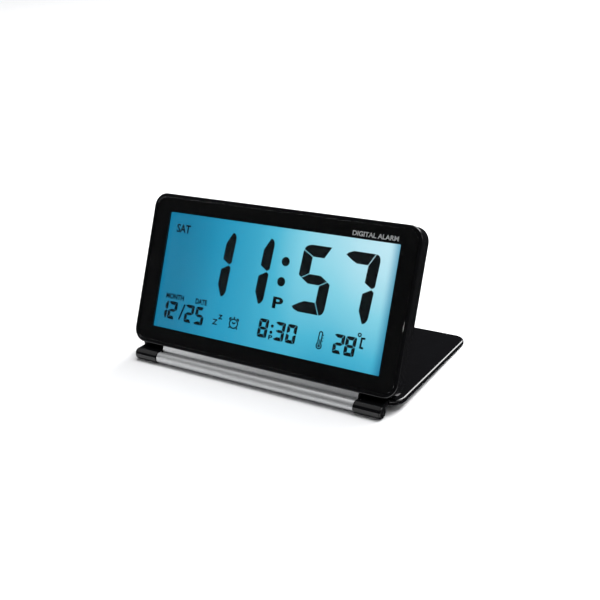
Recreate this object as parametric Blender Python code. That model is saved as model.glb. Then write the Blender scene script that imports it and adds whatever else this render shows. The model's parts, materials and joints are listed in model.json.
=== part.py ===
"""Folding LCD alarm clock, standing open on its own cover.

Two flat slabs share one hinge barrel along the front foot of the clock: the display case, which
leans back, and the cover, which is swung right round to the back and serves as the stand.
Metres, +Z up, front towards -Y, width along X, the table at Z = 0.

Each slab is modelled in its own frame on the hinge axis: local X runs along the barrel, local Y
away from it along the slab, and local Z out of the display's face, or out of the cover's outer
face. Depths below are local Z.
"""

import math

import bmesh
import bpy
from mathutils import Matrix

MM = 0.001

# Overall sizes
WIDTH = 130 * MM  # both slabs, along the barrel
SLAB_HEIGHT = 66.4 * MM  # both slabs, away from the barrel
SLAB_START = 5.2 * MM  # from the hinge axis to the slabs' near edge
COVER_THICKNESS = 1.9 * MM
STOP_GAP = 0.54 * MM  # between the case's back edge and the cover when fully open

# Clearances
FIT_GAP = 0.1 * MM  # between layers and pieces that lie against each other
RUN_GAP = 0.3 * MM  # between pieces that move past each other
PIN_GAP = 0.1 * MM  # around each hinge pin

# Hinge
KNUCKLE_R = 2.6 * MM
KNUCKLE_LENGTH = 12 * MM
BARREL_INSET = 4.2 * MM  # the barrel's ends stand in from the slabs' sides
FOOT_FLAT = 0.12 * MM  # cut off the knuckles' underside, so that they stand flat
TRIM_STEP = 0.2 * MM  # the trim's radius is this much less than the knuckles'
TRIM_WRAP = 285.0  # angle at which the trim's barrel runs into its strip
PIN_R = 0.75 * MM
PIN_PAST_SLEEVE = 1.1 * MM
SLEEVE_WALL = 0.65 * MM
SLEEVE_LENGTH = 7.5 * MM
SLEEVE_SPLIT = 24.0  # degrees
CAP_THICKNESS = 0.5 * MM
CAP_INSET = 0.2 * MM
CAP_DIMPLE_R = 0.6 * MM
CAP_DIMPLE_DEPTH = 0.2 * MM
WEB_SINK = 0.2 * MM  # the strip that ties the trim to the case starts below the window ledge
WEB_TONGUE = 2.8 * MM  # how far the strip reaches into the case past its bottom wall
WEB_BEND = 1.8 * MM  # where the strip's back starts, before the slab
GROOVE_DEPTH = 0.25 * MM
GROOVE_WIDTH = 0.35 * MM
GROOVE_CHAMFER = 0.2 * MM

# Display case
CASE_CORNER_R = 6.0 * MM
FACE = 0.3 * MM  # display face, proud of the hinge axis
FRAME_DEPTH = 3.7 * MM  # front frame's side wall
WALL = 1.5 * MM  # front frame
FRAME_EDGE_R = 0.5 * MM
SHELL_WALL = 1.2 * MM
SHELL_STEP = 0.3 * MM  # the rear shell is this much smaller all round
BACK_ROUNDING = 5.5 * MM  # of the rear shell's edges
LEDGE_THICKNESS = 0.9 * MM
SMALLEST_R = 0.2 * MM  # of an outline's corners

# Window and LCD stack
BEZEL_SIDE = 8.75 * MM  # from the case's side to the view
BEZEL_END = 7.85 * MM  # from the case's top and bottom to the view
VIEW_CORNER_R = 0.4 * MM
WINDOW_THICKNESS = 1.0 * MM
WINDOW_CHAMFER = 0.1 * MM
TAPE_THICKNESS = 0.1 * MM
TAPE_BACK_OFF = 0.5 * MM  # tape's edge, outside the view
POLARISER_THICKNESS = 0.2 * MM
GLASS_THICKNESS = 0.55 * MM
GUIDE_THICKNESS = 0.8 * MM
REFLECTOR_THICKNESS = 0.15 * MM
GLASS_BORDER = 0.85 * MM  # glass past the view on three sides
CONTACT_LEDGE = 2.6 * MM  # front glass past the rear glass, at the top
CONNECTOR_INSET = 6.8 * MM  # from the glass's sides
CONNECTOR_EDGE = 0.4 * MM  # from the contact ledge's two edges
HOLDER_WALL = 0.75 * MM
LED_THICKNESS = 1.0 * MM
LED_WIDTH = 3.0 * MM

# Circuit board
BOARD_INSET = 1.1 * MM  # from the glass's sides
BOARD_START = 0.8 * MM  # past the glass's bottom edge
BOARD_THICKNESS = 0.8 * MM
BOARD_CORNER_R = 1.0 * MM
EAR_WIDTH = 7 * MM
EAR_WALL = 1.5 * MM  # board left outside each ear's screw
EAR_ROOT = 2 * MM  # the ears start this far inside the board's sides
BLOB_X = 26 * MM
BLOB_BELOW_KEYS = 18 * MM
BLOB_R = 5.5 * MM
BLOB_HEIGHT = 1.0 * MM
CRYSTAL_R = 0.75 * MM
CRYSTAL_LENGTH = 6 * MM
CRYSTAL_X = -21 * MM
CRYSTAL_BELOW_KEYS = 14 * MM
SENSOR_INSET = 6 * MM  # from the board's side
SENSOR_BELOW_KEYS = 10 * MM
SENSOR_SIZE = (2.0 * MM, 1.2 * MM, 0.8 * MM)

# Coin cell, its contacts and its door
CELL_R = 10 * MM
CELL_THICKNESS = 2.5 * MM
CELL_FROM_BOTTOM = 20.8 * MM  # cell's centre, from the case's near edge
CELL_RUN = 0.6 * MM  # around the cell
CELL_SLACK = 0.05 * MM  # between the cell and the level of the shell's inside
CONTACT_THICKNESS = 0.15 * MM
CONTACT_FOOT = 2 * MM
NEGATIVE_WIDTH = 4 * MM
POSITIVE_WIDTH = 2.4 * MM
POSITIVE_DEPTH = 0.9 * MM
DOOR_THICKNESS = 0.5 * MM
DOOR_LAP = 0.7 * MM  # door's rim past its lugs
DOOR_RING_WALL = 1.2 * MM
DOOR_RING_DEPTH = 0.9 * MM  # past the shell's inside
COIN_SLOT = (16 * MM, 1.8 * MM)
LUG_REACH = 1.5 * MM
LUG_ANGLE = 32.0
LUG_SPARE = 8.0  # the shell's notches are this many degrees wider
DOOR_TWIST = 50.0

# Keys
KEY_R = 2.5 * MM
KEY_EDGE = 0.25 * MM
KEYS_FROM_TOP = 11.6 * MM
KEY_PROUD = 0.5 * MM
KEY_TRAVEL = 0.35 * MM
KEY_FLANGE = 0.7 * MM
FLANGE_THICKNESS = 0.4 * MM
SNOOZE_LENGTH = 18 * MM
PLUNGER_R = 1.0 * MM
DOME_R = 2.0 * MM
DOME_THICKNESS = 0.15 * MM
KEY_PLACES = {"mode": 42 * MM, "set": 28 * MM, "up": -28 * MM, "down": -42 * MM, "snooze_light": 0.0}

# Alarm on/off slide switch, and the reset hole above it
SWITCH_X = 40 * MM
SWITCH_BELOW_CELL = 2 * MM
SWITCH_TRAVEL = 3 * MM
SWITCH_BODY = (8 * MM, 4 * MM, 0.9 * MM)
KNOB_LENGTH = 4.5 * MM
KNOB_WIDTH = 2.6 * MM
KNOB_RIB = 0.54 * MM
KNOB_RIB_DEPTH = 0.25 * MM
TONGUE_LENGTH = 2.0 * MM
TONGUE_WIDTH = 1.2 * MM
TONGUE_DEPTH = 0.5 * MM  # short of the board
RESET_BELOW_KEYS = 12 * MM

# Fasteners
SCREW_R = 0.75 * MM
SCREW_HEAD_R = 1.4 * MM
SCREW_HEAD = 0.8 * MM
HEAD_SUNK = 0.75 * MM  # case screws' heads, below the back
SCREW_INSET_Y = 5.4 * MM
CASE_SCREW_LENGTH = 4.4 * MM
BOARD_SCREW_LENGTH = 2.6 * MM
BOSS_WALL = 0.65 * MM
BOSS_ROOT = 0.3 * MM  # bosses run this far into the ledge

# Buzzer
BUZZER_X = -38 * MM
BUZZER_R = 7.5 * MM
BUZZER_LAYER = 0.2 * MM
SOUND_HOLE_R = 0.6 * MM

# Cover
COVER_GAP = 0.35 * MM  # between the closed cover and the display's face
COVER_CORNER_R = 5.5 * MM
COVER_EDGE_R = 0.8 * MM
ARM_SINK = 0.05 * MM  # the knuckles' arms stand this far inside the cover's faces
LINER_INSET = 5 * MM
LINER_THICKNESS = 0.4 * MM
PAD_LENGTH = 9 * MM
PAD_WIDTH = 2.4 * MM
PAD_EDGE = 1.4 * MM  # from the cover's far edge
PAD_DEPTH = 0.65 * MM
PAD_PROUD = 0.25 * MM

# Places along the slab
SLAB_END = SLAB_START + SLAB_HEIGHT
SLAB_MIDDLE = SLAB_START + SLAB_HEIGHT / 2
CELL_ALONG = SLAB_START + CELL_FROM_BOTTOM
SWITCH_ALONG = CELL_ALONG - SWITCH_BELOW_CELL
KEY_ROW = SLAB_END - KEYS_FROM_TOP
VIEW_WIDTH = WIDTH - 2 * BEZEL_SIDE
VIEW_HEIGHT = SLAB_HEIGHT - 2 * BEZEL_END
GLASS_WIDTH = VIEW_WIDTH + 2 * GLASS_BORDER
GLASS_START = SLAB_MIDDLE - VIEW_HEIGHT / 2 - GLASS_BORDER
REAR_GLASS_END = SLAB_MIDDLE + VIEW_HEIGHT / 2 + GLASS_BORDER
FRONT_GLASS_END = REAR_GLASS_END + CONTACT_LEDGE
BOARD_WIDTH = GLASS_WIDTH - 2 * BOARD_INSET

# Depths, front to back
WINDOW_BACK = FACE - WINDOW_THICKNESS
LEDGE_FRONT = WINDOW_BACK - TAPE_THICKNESS - 2 * FIT_GAP
LEDGE_BACK = LEDGE_FRONT - LEDGE_THICKNESS
FRONT_POLARISER = LEDGE_BACK - FIT_GAP
FRONT_GLASS = FRONT_POLARISER - POLARISER_THICKNESS - FIT_GAP
REAR_GLASS = FRONT_GLASS - GLASS_THICKNESS - FIT_GAP
REAR_POLARISER = REAR_GLASS - GLASS_THICKNESS - FIT_GAP
GUIDE = REAR_POLARISER - POLARISER_THICKNESS - FIT_GAP
REFLECTOR = GUIDE - GUIDE_THICKNESS - FIT_GAP
BOARD_FRONT = REFLECTOR - REFLECTOR_THICKNESS - 2 * FIT_GAP
BOARD_BACK = BOARD_FRONT - BOARD_THICKNESS
ON_BOARD = BOARD_BACK - FIT_GAP
CELL_FRONT = BOARD_FRONT - RUN_GAP
CELL_BACK = CELL_FRONT - CELL_THICKNESS
SHELL_INSIDE = CELL_BACK - CELL_SLACK
BACK = SHELL_INSIDE - SHELL_WALL
PARTING = FACE - FRAME_DEPTH
SHELL_RIM = PARTING - FIT_GAP
BACK_EDGE_R = min(BACK_ROUNDING, SHELL_RIM - BACK - FIT_GAP)
WEB_FACE = LEDGE_FRONT - WEB_SINK
WEB_BACK = PARTING + FIT_GAP
FLANGE_BACK = SHELL_INSIDE + FIT_GAP
HEAD_SEAT = BACK + HEAD_SUNK + SCREW_HEAD
DOOR_SEAT = BACK + DOOR_THICKNESS + FIT_GAP
COLUMN_END = BOARD_BACK - FIT_GAP  # rear shell's screw columns, against the frame's bosses

# Hinge, from the middle outwards
TRIM_R = KNUCKLE_R - TRIM_STEP
BARREL_END = WIDTH / 2 - BARREL_INSET
TRIM_END = BARREL_END - KNUCKLE_LENGTH
KNUCKLE_START = TRIM_END + RUN_GAP
KNUCKLE_END = BARREL_END - CAP_THICKNESS - FIT_GAP
SLEEVE_START = TRIM_END - RUN_GAP
SLEEVE_INNER_R = PIN_R + PIN_GAP
SLEEVE_OUTER_R = SLEEVE_INNER_R + SLEEVE_WALL
PIN_START = SLEEVE_START - SLEEVE_LENGTH - PIN_PAST_SLEEVE
PIN_END = KNUCKLE_END - RUN_GAP

# Battery door and screws
CELL_HOLE_R = CELL_R + CELL_RUN
DOOR_CORE_R = CELL_HOLE_R + DOOR_RING_WALL
DOOR_R = DOOR_CORE_R + LUG_REACH + DOOR_LAP
PILOT_R = SCREW_R + FIT_GAP
BOSS_R = PILOT_R + BOSS_WALL
SCREW_X = GLASS_WIDTH / 2 + HOLDER_WALL + FIT_GAP + RUN_GAP + BOSS_R
SCREW_PLACES = [
    (side * SCREW_X, along)
    for side in (-1, 1)
    for along in (SLAB_START + SCREW_INSET_Y, SLAB_END - SCREW_INSET_Y)
]

# Cover
COVER_INSIDE = FACE + COVER_GAP
COVER_OUTSIDE = COVER_INSIDE + COVER_THICKNESS
PAD_FACE = COVER_INSIDE - PAD_PROUD
PAD_FAR = SLAB_END - PAD_EDGE
AXIS_HEIGHT = KNUCKLE_R - FOOT_FLAT


def cover_slope():
    """Angle by which the cover slopes down to its pads, so that knuckles and pads share the table."""
    slope = 0.0
    for _ in range(20):
        slope = math.asin((AXIS_HEIGHT + PAD_FACE * math.cos(slope)) / PAD_FAR)
    return slope


def display_lean(slope):
    """Angle by which the display leans back from upright when its back edge meets the cover."""
    along = SLAB_START + SHELL_STEP + BACK_EDGE_R
    depth = BACK + BACK_EDGE_R
    height = COVER_OUTSIDE + STOP_GAP + BACK_EDGE_R
    opening = math.asin(height / math.hypot(along, depth)) - math.atan2(depth, along)
    return math.pi / 2 - opening + slope


COVER_SLOPE = cover_slope()
LEAN = display_lean(COVER_SLOPE)
REAR_REACH = (
    (SLAB_END - COVER_EDGE_R) * math.cos(COVER_SLOPE)
    + (COVER_OUTSIDE - COVER_EDGE_R) * math.sin(COVER_SLOPE)
    + COVER_EDGE_R
)
AXIS_Y = (KNUCKLE_R - REAR_REACH) / 2  # the clock is centred front to back


# Scene and materials


def clear_scene():
    for old in list(bpy.data.objects):
        bpy.data.objects.remove(old, do_unlink=True)


def material(name, colour, roughness, metallic=0.0, transmission=0.0):
    made = bpy.data.materials.new(name)
    made.use_nodes = True
    shader = made.node_tree.nodes["Principled BSDF"]
    shader.inputs["Base Color"].default_value = (*colour, 1.0)
    shader.inputs["Roughness"].default_value = roughness
    shader.inputs["Metallic"].default_value = metallic
    shader.inputs["Transmission Weight"].default_value = transmission
    return made


def empty(name, location, turn_x, parent=None):
    frame = bpy.data.objects.new(name, None)
    frame.location = location
    frame.rotation_euler = (turn_x, 0.0, 0.0)
    frame.parent = parent
    bpy.context.scene.collection.objects.link(frame)
    return frame


def add(name, mesh_data, parent, finish=None, location=(0.0, 0.0, 0.0)):
    """Turns a bmesh into a named object under its slab's frame."""
    bmesh.ops.recalc_face_normals(mesh_data, faces=mesh_data.faces)
    if mesh_data.calc_volume(signed=True) < 0:
        bmesh.ops.reverse_faces(mesh_data, faces=mesh_data.faces)
    mesh = bpy.data.meshes.new(name)
    mesh_data.to_mesh(mesh)
    mesh_data.free()
    made = bpy.data.objects.new(name, mesh)
    made.parent = parent
    made.location = location
    bpy.context.scene.collection.objects.link(made)
    if finish is not None:
        mesh.materials.append(finish)
        mesh.shade_smooth()
        mesh.set_sharp_from_angle(angle=math.radians(32))
    return made


def combine(target, tool, operation):
    """A live Boolean with a helper object, which is left out of the part."""
    tool.hide_render = True
    tool.display_type = "WIRE"
    modifier = target.modifiers.new(tool.name, "BOOLEAN")
    modifier.operation = operation
    modifier.object = tool


def cut(target, tool):
    combine(target, tool, "DIFFERENCE")


def join(target, tool):
    combine(target, tool, "UNION")


# Outlines, each a list of (x, y) points, anticlockwise


def arc(centre, radius, start, end, steps):
    """Points on an arc, angles in degrees."""
    angles = [math.radians(start + (end - start) * i / steps) for i in range(steps + 1)]
    return [(centre[0] + radius * math.cos(a), centre[1] + radius * math.sin(a)) for a in angles]


def circle(centre, radius, steps=32):
    return arc(centre, radius, 0, 360, steps)[:-1]


def rounded_box(centre, width, height, radius, steps=5):
    """A rectangle with round corners."""
    x, y = width / 2 - radius, height / 2 - radius
    points = []
    for turn, (sx, sy) in enumerate(((1, 1), (-1, 1), (-1, -1), (1, -1))):
        corner = (centre[0] + sx * x, centre[1] + sy * y)
        points += arc(corner, radius, 90 * turn, 90 * turn + 90, steps)
    return points


def box_outline(x0, x1, y0, y1):
    return [(x0, y0), (x1, y0), (x1, y1), (x0, y1)]


# Solids, each a bmesh


def loft(levels, hollow=False):
    """Skins outlines of equal length, each given with its depth.

    A plain loft is capped at both ends. A hollow one runs down the outside, through the last
    outline and back up the inside to the first, so it closes on itself like a picture frame.
    """
    solid = bmesh.new()
    rings = [[solid.verts.new((x, y, depth)) for x, y in outline] for outline, depth in levels]
    pairs = list(zip(rings, rings[1:]))
    if hollow:
        pairs.append((rings[-1], rings[0]))
    for low, high in pairs:
        count = len(low)
        for i in range(count):
            following = (i + 1) % count
            solid.faces.new((low[i], low[following], high[following], high[i]))
    if not hollow:
        solid.faces.new(rings[0])
        solid.faces.new(rings[-1])
    return solid


def slab(outline, near, far):
    return loft([(outline, near), (outline, far)])


def turned(centre, profile, steps=32):
    """A round solid from (radius, depth) pairs, first to last, with flat ends."""
    return loft([(circle(centre, radius, steps), depth) for radius, depth in profile])


def post(centre, radius, near, far, steps=24):
    """A round solid of one radius."""
    return turned(centre, [(radius, near), (radius, far)], steps)


def along_x(outline, start, end):
    """A solid whose (y, z) outline runs from start to end along X."""
    solid = slab(outline, start, end)
    turn = Matrix(((0, 0, 1, 0), (1, 0, 0, 0), (0, 1, 0, 0), (0, 0, 0, 1)))
    bmesh.ops.transform(solid, matrix=turn, verts=solid.verts)
    return solid


# Cover, the stand


def cover_shell(frame, black):
    """Moulded cover with its two arms and hinge knuckles."""
    middle = (0.0, SLAB_MIDDLE)

    def outline(inset):
        return rounded_box(
            middle, WIDTH - 2 * inset, SLAB_HEIGHT - 2 * inset, COVER_CORNER_R - inset, 6
        )

    inner_edge = COVER_EDGE_R / 2
    levels = [(outline(inner_edge), COVER_INSIDE), (outline(0.0), COVER_INSIDE + inner_edge)]
    for step in range(5):
        angle = math.radians(90 * step / 4)
        inset = COVER_EDGE_R * (1 - math.cos(angle))
        levels.append((outline(inset), COVER_OUTSIDE - COVER_EDGE_R * (1 - math.sin(angle))))
    shell = add("cover_shell", loft(levels), frame, black)

    tilt = math.degrees(math.asin(COVER_INSIDE / KNUCKLE_R))
    reach = SLAB_START + COVER_CORNER_R
    top = COVER_OUTSIDE - ARM_SINK
    arm = arc((0.0, 0.0), KNUCKLE_R, 90, 360 + tilt, 26)
    arm += [(reach, COVER_INSIDE + ARM_SINK), (reach, top), (SLAB_START / 2, top)]
    for side, name in ((-1, "left"), (1, "right")):
        ends = sorted((side * KNUCKLE_START, side * KNUCKLE_END))
        knuckle = add("knuckle_" + name, along_x(arm, *ends), frame)
        join(shell, knuckle)
    bore = along_x(circle((0, 0), PIN_R + PIN_GAP, 24), -WIDTH, WIDTH)
    cut(shell, add("knuckle_bore", bore, frame))

    below = slab(box_outline(-WIDTH, WIDTH, -WIDTH, WIDTH), -SLAB_HEIGHT, 0.0)
    table = add("table", below, frame.parent)
    table.location = (0.0, 0.0, -AXIS_HEIGHT)
    cut(shell, table)

    recess = rounded_box(
        middle,
        WIDTH - 2 * LINER_INSET + 2 * FIT_GAP,
        SLAB_HEIGHT - 2 * LINER_INSET + 2 * FIT_GAP,
        COVER_CORNER_R / 2 + FIT_GAP,
        3,
    )
    depth = COVER_INSIDE + LINER_THICKNESS + 2 * FIT_GAP
    cut(shell, add("liner_recess", slab(recess, COVER_INSIDE - MM, depth), frame))
    for side, name in ((-1, "left"), (1, "right")):
        pocket = pad_outline(side, FIT_GAP)
        depth = PAD_FACE + PAD_DEPTH + FIT_GAP
        cut(shell, add("pocket_" + name, slab(pocket, COVER_INSIDE - MM, depth), frame))
    return shell


def pad_outline(side, gap):
    """Foot pad's outline near a far corner of the cover, grown by a gap all round."""
    centre = (side * (WIDTH / 2 - COVER_CORNER_R - PAD_LENGTH / 2), PAD_FAR - PAD_WIDTH / 2)
    return rounded_box(
        centre, PAD_LENGTH + 2 * gap, PAD_WIDTH + 2 * gap, PAD_WIDTH / 3 + gap, 3
    )


def cover_fittings(frame, finishes):
    liner = rounded_box(
        (0.0, SLAB_MIDDLE),
        WIDTH - 2 * LINER_INSET,
        SLAB_HEIGHT - 2 * LINER_INSET,
        COVER_CORNER_R / 2,
        3,
    )
    start = COVER_INSIDE + FIT_GAP
    add("cover_liner", slab(liner, start, start + LINER_THICKNESS), frame, finishes["felt"])
    for side, name in ((-1, "left"), (1, "right")):
        pad = slab(pad_outline(side, 0.0), PAD_FACE, PAD_FACE + PAD_DEPTH)
        add("foot_pad_" + name, pad, frame, finishes["rubber"])
        ends = sorted((side * PIN_START, side * PIN_END))
        pin = along_x(circle((0, 0), PIN_R, 24), *ends)
        add("hinge_pin_" + name, pin, frame, finishes["steel"])
        hinge_cap(frame, side, name, finishes["black_gloss"])


def hinge_cap(frame, side, name, finish):
    """Disc that closes a knuckle, with a rounded rim and a small dimple at its centre."""
    rim = CAP_THICKNESS / 2
    radius = KNUCKLE_R - CAP_INSET
    profile = [(radius, 0.0)]
    for step in range(4):
        angle = math.radians(90 * step / 3)
        profile.append((radius - rim * (1 - math.cos(angle)), rim + rim * math.sin(angle)))
    profile.append((CAP_DIMPLE_R, CAP_THICKNESS))
    profile.append((CAP_DIMPLE_R / 2, CAP_THICKNESS - CAP_DIMPLE_DEPTH))
    disc = turned((0.0, 0.0), profile)
    turn = Matrix.Rotation(side * math.pi / 2, 4, "Y")
    bmesh.ops.transform(disc, matrix=turn, verts=disc.verts)
    cap = add("hinge_cap_" + name, disc, frame, finish)
    cap.location = (side * (BARREL_END - CAP_THICKNESS), 0.0, 0.0)


# Display case


def case_outline(inset, steps=6):
    return rounded_box(
        (0.0, SLAB_MIDDLE),
        WIDTH - 2 * inset,
        SLAB_HEIGHT - 2 * inset,
        max(CASE_CORNER_R - inset, SMALLEST_R),
        steps,
    )


def front_frame(frame, black):
    """Bezel: side wall, rim round the window, and the ledge that the window is taped to."""
    view = rounded_box((0.0, SLAB_MIDDLE), VIEW_WIDTH, VIEW_HEIGHT, VIEW_CORNER_R, 6)
    levels = [(case_outline(0.0), PARTING)]
    for step in range(5):
        angle = math.radians(90 * step / 4)
        inset = FRAME_EDGE_R * (1 - math.cos(angle))
        levels.append((case_outline(inset), FACE - FRAME_EDGE_R * (1 - math.sin(angle))))
    levels += [
        (case_outline(WALL), FACE),
        (case_outline(WALL), LEDGE_FRONT),
        (view, LEDGE_FRONT),
        (view, LEDGE_BACK),
        (case_outline(WALL), LEDGE_BACK),
        (case_outline(WALL), PARTING),
    ]
    bezel = add("front_frame", loft(levels, hollow=True), frame, black)

    bosses = [(place, BOARD_BACK + FIT_GAP) for place in SCREW_PLACES]
    bosses += [((side * SCREW_X, SLAB_MIDDLE), BOARD_FRONT + FIT_GAP) for side in (-1, 1)]
    for index, (place, end) in enumerate(bosses):
        boss = post(place, BOSS_R, end, LEDGE_BACK + BOSS_ROOT, 20)
        join(bezel, add(f"boss_{index}", boss, frame))
        hole = post(place, PILOT_R, end - MM, LEDGE_BACK + FIT_GAP, 16)
        cut(bezel, add(f"pilot_{index}", hole, frame))

    half = TRIM_END + FIT_GAP
    notch = box_outline(-half, half, SLAB_START - MM, SLAB_START + WALL + FIT_GAP)
    notch_top = WEB_FACE + FIT_GAP
    cut(bezel, add("web_notch", slab(notch, PARTING - MM, notch_top), frame))
    return bezel


def rear_shell(frame, black):
    """Back of the case: a shallow pillow with round edges, open towards the front frame."""
    drop = BACK_EDGE_R
    steps = 5
    outside, inside = [], []
    for step in range(steps + 1):
        angle = math.radians(90 * step / steps)
        inset = SHELL_STEP + drop * (1 - math.cos(angle))
        outside.append((case_outline(inset), BACK + drop * (1 - math.sin(angle))))
        inner = drop - SHELL_WALL
        inset = SHELL_STEP + SHELL_WALL + inner * (1 - math.cos(angle))
        inside.append((case_outline(inset), SHELL_INSIDE + inner * (1 - math.sin(angle))))
    outside.insert(0, (case_outline(SHELL_STEP), SHELL_RIM))
    inside.insert(0, (case_outline(SHELL_STEP + SHELL_WALL), SHELL_RIM))
    shell = add("rear_shell", cup(outside, inside), frame, black)

    for index, place in enumerate(SCREW_PLACES):
        radius = SCREW_HEAD_R + 2 * FIT_GAP + BOSS_WALL
        column = post(place, radius, SHELL_INSIDE - FIT_GAP, COLUMN_END, 20)
        join(shell, add(f"column_{index}", column, frame))
        head = post(place, SCREW_HEAD_R + FIT_GAP, BACK - MM, HEAD_SEAT, 20)
        cut(shell, add(f"head_{index}", head, frame))
        shaft = post(place, PILOT_R, BACK, COLUMN_END + MM, 16)
        cut(shell, add(f"shaft_{index}", shaft, frame))
    for side, name in ((-1, "left"), (1, "right")):
        deep = ON_BOARD - SCREW_HEAD - 2 * FIT_GAP
        room = post((side * SCREW_X, SLAB_MIDDLE), SCREW_HEAD_R + RUN_GAP, deep, SHELL_RIM)
        cut(shell, add("board_screw_room_" + name, room, frame))
    shell_openings(shell, frame)
    return shell


def cup(outside, inside):
    """A closed wall between two lofted surfaces, capped at their far ends and joined at the rim."""
    solid = bmesh.new()
    skins = []
    for levels in (outside, inside):
        rings = [[solid.verts.new((x, y, depth)) for x, y in outline] for outline, depth in levels]
        for low, high in zip(rings, rings[1:]):
            bridge(solid, low, high)
        solid.faces.new(rings[-1])
        skins.append(rings[0])
    bridge(solid, *skins)
    return solid


def bridge(solid, low, high):
    count = len(low)
    for i in range(count):
        following = (i + 1) % count
        solid.faces.new((low[i], low[following], high[following], high[i]))


def shell_openings(shell, frame):
    """Openings in the back: battery, keys, slide switch, buzzer and reset."""
    outside, inside = BACK - MM, SHELL_INSIDE + MM
    cell = (0.0, CELL_ALONG)
    cut(shell, add("door_recess", post(cell, DOOR_R + FIT_GAP, outside, DOOR_SEAT, 48), frame))
    cut(shell, add("door_hole", post(cell, DOOR_CORE_R + FIT_GAP, outside, 0.0, 48), frame))
    for side in (0, 180):
        notch = lug_outline(side + DOOR_TWIST, LUG_ANGLE + LUG_SPARE, 2 * FIT_GAP)
        cut(shell, add(f"lug_notch_{side}", slab(notch, outside, inside), frame))

    for name, outline in key_outlines(FIT_GAP).items():
        cut(shell, add("opening_" + name, slab(outline, outside, inside), frame))
    slot = switch_outline(KNOB_LENGTH + 2 * FIT_GAP, KNOB_WIDTH + 2 * FIT_GAP, SWITCH_TRAVEL)
    cut(shell, add("switch_slot", slab(slot, outside, inside), frame))

    spots = [(SWITCH_X, KEY_ROW - RESET_BELOW_KEYS), (BUZZER_X, CELL_ALONG)]
    spots += arc((BUZZER_X, CELL_ALONG), BUZZER_R / 2, 0, 300, 5)
    for index, spot in enumerate(spots):
        cut(shell, add(f"hole_{index}", post(spot, SOUND_HOLE_R, outside, inside, 12), frame))


def switch_outline(length, width, travel=0.0):
    """A rectangle centred on the switch knob at rest, made longer by the knob's travel."""
    low, high = SWITCH_X - length / 2, SWITCH_X + length / 2 + travel
    return box_outline(low, high, SWITCH_ALONG - width / 2, SWITCH_ALONG + width / 2)


def lug_outline(middle, spread, grown):
    """A sector that reaches past the door's core, centred on an angle in degrees."""
    centre = (0.0, CELL_ALONG)
    start, end = middle - spread / 2, middle + spread / 2
    outer = arc(centre, DOOR_CORE_R + LUG_REACH + grown, start, end, 6)
    inner = arc(centre, DOOR_CORE_R - DOOR_RING_WALL * 0.75, end, start, 4)
    return outer + inner


def key_outlines(gap):
    """Every key's outline, grown by a gap all round."""
    radius = KEY_R + gap
    outlines = {name: circle((x, KEY_ROW), radius, 24) for name, x in KEY_PLACES.items()}
    wide = SNOOZE_LENGTH + 2 * gap
    ends = radius - 0.01 * MM  # keeps the round ends' last points apart
    outlines["snooze_light"] = rounded_box((0.0, KEY_ROW), wide, 2 * radius, ends, 6)
    return outlines


def hinge_trim(frame, silver):
    """Silver barrel cover with the strip that ties it to the case, bored for the hinge pins."""
    groove = WEB_FACE - GROOVE_DEPTH
    start = math.degrees(math.asin(groove / TRIM_R))
    outline = arc((0.0, 0.0), TRIM_R, start, TRIM_WRAP, 30)
    inside = SLAB_START + WALL
    outline += [
        (SLAB_START - WEB_BEND, WEB_BACK),
        (inside + WEB_TONGUE, WEB_BACK),
        (inside + WEB_TONGUE, LEDGE_BACK - RUN_GAP),
        (inside, LEDGE_BACK - RUN_GAP),
        (inside, WEB_FACE),
        (TRIM_R + GROOVE_WIDTH + GROOVE_CHAMFER, WEB_FACE),
        (TRIM_R + GROOVE_WIDTH, groove),
    ]
    trim = add("hinge_trim", along_x(outline, -TRIM_END, TRIM_END), frame, silver)
    for side, name in ((-1, "left"), (1, "right")):
        ends = sorted((side * (PIN_START - MM), side * (TRIM_END + MM)))
        bore = along_x(circle((0, 0), SLEEVE_OUTER_R + FIT_GAP, 24), *ends)
        cut(trim, add("trim_bore_" + name, bore, frame))
    return trim


def friction_sleeves(frame, finish):
    """Split spring sleeves in the trim's bores, which grip the pins and hold the display up."""
    first, last = SLEEVE_SPLIT / 2, 360 - SLEEVE_SPLIT / 2
    outline = arc((0, 0), SLEEVE_OUTER_R, first, last, 24)
    outline += arc((0, 0), SLEEVE_INNER_R, last, first, 24)
    for side, name in ((-1, "left"), (1, "right")):
        ends = sorted((side * SLEEVE_START, side * (SLEEVE_START - SLEEVE_LENGTH)))
        add("friction_sleeve_" + name, along_x(outline, *ends), frame, finish)


def window_and_tape(frame, finishes):
    """Clear window over the whole face, and the tape frame that holds it to the ledge."""
    edge = WALL + FIT_GAP
    window = [
        (case_outline(edge), WINDOW_BACK),
        (case_outline(edge), FACE - WINDOW_CHAMFER),
        (case_outline(edge + WINDOW_CHAMFER), FACE),
    ]
    add("display_window", loft(window), frame, finishes["clear"])

    outer = case_outline(WALL + RUN_GAP)
    inner = rounded_box(
        (0.0, SLAB_MIDDLE),
        VIEW_WIDTH + 2 * TAPE_BACK_OFF,
        VIEW_HEIGHT + 2 * TAPE_BACK_OFF,
        VIEW_CORNER_R,
        6,
    )
    front = WINDOW_BACK - FIT_GAP
    back = front - TAPE_THICKNESS
    tape = [(outer, back), (outer, front), (inner, front), (inner, back)]
    add("window_tape", loft(tape, hollow=True), frame, finishes["black_matte"])


def layer(name, front, thickness, inset, end, frame, finish, right=0.0):
    """One sheet of the LCD stack: inset on all sides, and shorter at the right for the LEDs."""
    half = GLASS_WIDTH / 2 - inset
    outline = box_outline(-half, half - right, GLASS_START + inset, end - inset)
    add(name, slab(outline, front - thickness, front), frame, finish)


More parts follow.
